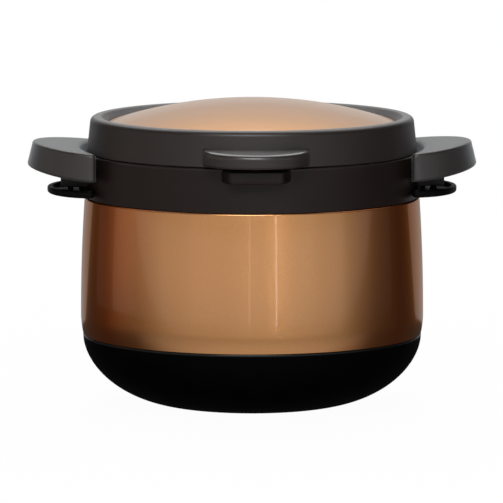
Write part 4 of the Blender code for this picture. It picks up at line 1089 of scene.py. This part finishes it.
knob_profile = filleted(
    [
        (0, knob_high[2], 0),
        (knob_radius * 0.62, knob_high[2] - 0.0002, 0.0120),
        (knob_radius, up_knob(0.86), 0.0040),
        (knob_radius * 0.97, up_knob(0.66), 0.0018),
        (knob_neck, up_knob(0.36), 0.0040),
        (knob_neck, up_knob(0.18), 0.0020),
        (knob_foot, knob_low[2], SMALL_EDGE),
        (knob_bore, knob_low[2], 0),
        (knob_bore, knob_bore_top, 0),
        (0, knob_bore_top, 0),
    ],
    steps=8,
)
knob_look = ("glass_lid", knob_plastic, "black_plastic")
turned("lid_knob", knob_profile, *knob_look, "pot_lid_knob", steps=KNOB_STEPS)
dress("knob_washer", plain_steel)
dress("knob_seal", silicone)

# The outer lid's ring is the same brown-black moulding as the collar. Its wall rises to a
# rounded shoulder and a flat crest, then slopes down to the dome. A tab stands out at the front
# and the rear, and its top falls away towards its tip.
dome_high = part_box("lid_dome")[1]
lid_radius = lid_high[0]
lid_shoulder_radius = 0.1134
lid_shoulder = 0.0040
crest_radius = 0.1094
land_radius = 0.1058
land_round = 0.0030
lid_wall = 0.0026
lid_crown = 0.0050
lid_web = 0.0022
lid_foot_edge = 0.0007
lid_inner_edge = 0.0010
dome_curve = 0.3220
dome_radius = dome_high[0]
dome_sheet = 0.0008
dome_edge = lid_high[2] - 0.0044
ledge = dome_radius + CLEARANCE
ledge_inner = ledge - 0.0080
tab_reach = lid_high[1]
tab_low = lid_low[2] + 0.0014
tab_thick = 0.0110
tab_fall = 0.0017
tab_half = 0.0368
tab_depth = 0.0290
tab_rounds = (0.0018, 0.0026)
rubbed_tab_low, rubbed_tab_high = lid_low[2] + 0.0075, lid_low[2] + 0.0092
rubbed_crest_low, rubbed_crest_high = lid_high[2] - 0.0006, lid_high[2] - 0.0001
tab_start = 0.0006


def rubbed_tab(tree):
    """Strongest on top of the two tabs, where thumbs lift the lid, and less on the crest."""
    out = tree.math("ABSOLUTE", tree.along("Y"))
    height = tree.along("Z")
    crest = tree.span(height, rubbed_crest_low, rubbed_crest_high)
    tab = tree.span(out, lid_radius - tab_start, lid_radius + tab_start)
    return 0.8 * tab * tree.span(height, rubbed_tab_low, rubbed_tab_high) + 0.3 * crest


def dome_z(radius):
    """Height of the dome's upper face: a spherical cap through its edge."""
    centre = dome_edge - np.sqrt(dome_curve**2 - dome_radius**2)
    return centre + np.sqrt(dome_curve**2 - np.asarray(radius, float) ** 2)


def tab_top(x):
    """Level at the ring, then lower as the square of the way out to the tip."""
    out = (x - lid_shoulder_radius) / (tab_reach - lid_shoulder_radius)
    return tab_low + tab_thick - tab_fall * np.clip(out, 0, 1) ** 2


lid_dark, lid_pale = (0.0110, 0.0056, 0.0039), (0.0150, 0.0080, 0.0058)
lid_satin = satin_plastic("lid_satin", lid_dark, lid_pale, 0.66, 0.40, 0.04, rubbed_tab)
ledge_low = dome_z(ledge) - dome_sheet - CLEARANCE
ledge_in_low = dome_z(ledge_inner) - dome_sheet - CLEARANCE
slope_and_land = filleted(
    [
        (ledge, ledge_low, 0),
        (ledge, dome_edge + 0.0002, SMALL_EDGE),
        (land_radius, lid_high[2], land_round),
        (crest_radius, lid_high[2], 0),
    ],
    steps=8,
)[1:-1]
a = np.linspace(0, math.pi / 2, 14)
shoulder_r = crest_radius + (lid_shoulder_radius - crest_radius) * np.sin(a)
shoulder_z = lid_high[2] - lid_shoulder * (1 - np.cos(a))
wall_and_web = filleted(
    [
        (lid_shoulder_radius, lid_high[2] - lid_shoulder, 0),
        (lid_radius, lid_low[2], lid_foot_edge),
        (lid_radius - lid_wall, lid_low[2], SMALL_EDGE),
        (lid_shoulder_radius - lid_wall, lid_high[2] - lid_crown, lid_inner_edge),
        (land_radius, lid_high[2] - lid_crown, lid_inner_edge),
        (ledge, ledge_low - lid_web, lid_inner_edge),
        (ledge_inner, ledge_in_low - lid_web, 0),
    ]
)[1:]
ring_profile = np.concatenate(
    [
        slope_and_land,
        np.stack([shoulder_r, shoulder_z], 1),
        wall_and_web,
        [(ledge_inner, ledge_in_low), (ledge, ledge_low)],
    ]
)
lid_look = ("outer_lid", lid_satin, "brown_black_plastic")
turned("lid_rim", ring_profile, *lid_look, "lid_ring", closed=True)
a = np.linspace(-math.pi / 2, math.pi / 2, 60)
tab_face = np.stack([tab_reach - tab_depth + tab_depth * np.cos(a), tab_half * np.sin(a)], 1)
tab_lines = (tab_face, root_line(lid_shoulder_radius, tab_half, len(tab_face)))
for side, turn in ends:
    slab("lid_tab_" + side, tab_lines, (level(tab_low), tab_top), tab_rounds, lid_look, turn)

# The dome is a pressed sheet with the same copper colour, but a finer, more satin coat, and it
# lies on the ring's ledge with its edge just below the crest. Its shades are set at about half
# the shell's, a painted shade that offsets the strong lamps behind it.
dome_hem = 0.0003

dome_coat_painted_shade, shader, tree = new_finish("dome_lacquer_painted_shade", Metallic=1.0, Coat_Weight=0.5, Coat_Roughness=0.12)
glint = tree.span(tree.noise(1500, 3), 0.3, 0.7)
grain = 0.6 * glint + 0.4 * tree.noise(8, 2)
feed(
    shader,
    # Shades about half the shell's: painted shade.
    Base_Color=tree.blend(grain, (0.35, 0.170, 0.062), (0.43, 0.222, 0.084)),
    Roughness=0.34 + 0.06 * glint,
    Normal=tree.bump(glint, 0.05, 0.00001),
)
r = np.linspace(0, dome_radius - 0.0006, 60)
under = np.linspace(dome_radius - 0.0004, 0, 20)
edge_z = dome_z(dome_radius)
dome_profile = np.concatenate(
    [
        np.stack([r, dome_z(r)], 1),
        [(dome_radius, edge_z - dome_hem), (dome_radius, edge_z - dome_sheet)],
        np.stack([under, dome_z(under) - dome_sheet], 1),
    ]
)
turned("copper_dome", dome_profile, "outer_lid", dome_coat_painted_shade, "copper_coat", "lid_dome")

# Under the dome lies a disc of white foam, which keeps the heat in. Its cut faces show small
# closed cells.
foam, shader, tree = new_finish("white_foam", Roughness=0.95)
cell_inputs = {"Vector": tree.object_point(), "Scale": 900}
cells = tree.node("ShaderNodeTexVoronoi", None, cell_inputs, "Distance")
feed(
    shader,
    Base_Color=tree.blend(cells, (0.86, 0.85, 0.80), (0.70, 0.69, 0.64)),
    Normal=tree.bump(cells, 0.5, 0.0003),
)
dress("lid_foam", foam)

# The lid's liner is moulded in grey plastic and closes the lid from below, with a shallow plug
# that drops into the mouth, a flange over it, and a well for the pot's knob.
dish_low, dish_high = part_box("lid_liner")
dish_wall = 0.0022
plug_radius = 0.1050
plug_edge = 0.0006
flange_low = collar_high[2] + 0.0004
flange_top = flange_low + 0.0026
flange_edge = 0.0005
ceiling = collar_high[2] + 0.0060
ceiling_round = 0.0020
well_z = dish_high[2] - dish_wall
well_top = 0.0440
well_out = well_top + 0.0040
well_round = 0.0030

lining, shader, tree = new_finish("grey_lining")
feed(
    shader,
    Base_Color=tree.blend(tree.noise(30, 3), (0.095, 0.095, 0.100), (0.120, 0.120, 0.125)),
    Roughness=0.42 + 0.10 * tree.noise(300, 3),
    Normal=moulded_grain(tree, 2200),
)
dish_profile = filleted(
    [
        (0, dish_high[2], 0),
        (well_top + dish_wall / 2, dish_high[2], ceiling_round),
        (well_out + dish_wall / 2, ceiling + dish_wall, ceiling_round),
        (plug_radius, ceiling + dish_wall, 0.0011),
        (plug_radius, flange_top, 0.0004),
        (dish_high[0], flange_top, flange_edge),
        (dish_high[0], flange_low, flange_edge),
        (plug_radius, flange_low, SMALL_EDGE),
        (plug_radius, dish_low[2], plug_edge),
        (plug_radius - dish_wall, dish_low[2], plug_edge),
        (plug_radius - dish_wall, ceiling, ceiling_round),
        (well_out - dish_wall / 2, ceiling, well_round),
        (well_top - dish_wall / 2, well_z, well_round),
        (0, well_z, 0),
    ]
)
turned("lid_lining", dish_profile, "outer_lid", lining, "grey_plastic", "lid_liner")

# The lid's gasket is a ring of grey silicone stretched round the plug. Its outer face comes to a
# blunt ridge, which seals in the collar's mouth.
seal_low, seal_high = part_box("lid_gasket")
seal_out = seal_high[0]
seal_in = plug_radius + CLEARANCE
seal_ridge = 0.0003

seal_profile = filleted(
    [
        (seal_out - seal_ridge, seal_high[2], FINE_EDGE),
        (seal_out, (seal_low[2] + seal_high[2]) / 2, SMALL_EDGE),
        (seal_out - seal_ridge, seal_low[2], FINE_EDGE),
        (seal_in, seal_low[2], FINE_EDGE),
        (seal_in, seal_high[2], FINE_EDGE),
    ],
    closed=True,
)
turned("lid_seal", seal_profile, "outer_lid", silicone, "grey_rubber", "lid_gasket", closed=True)
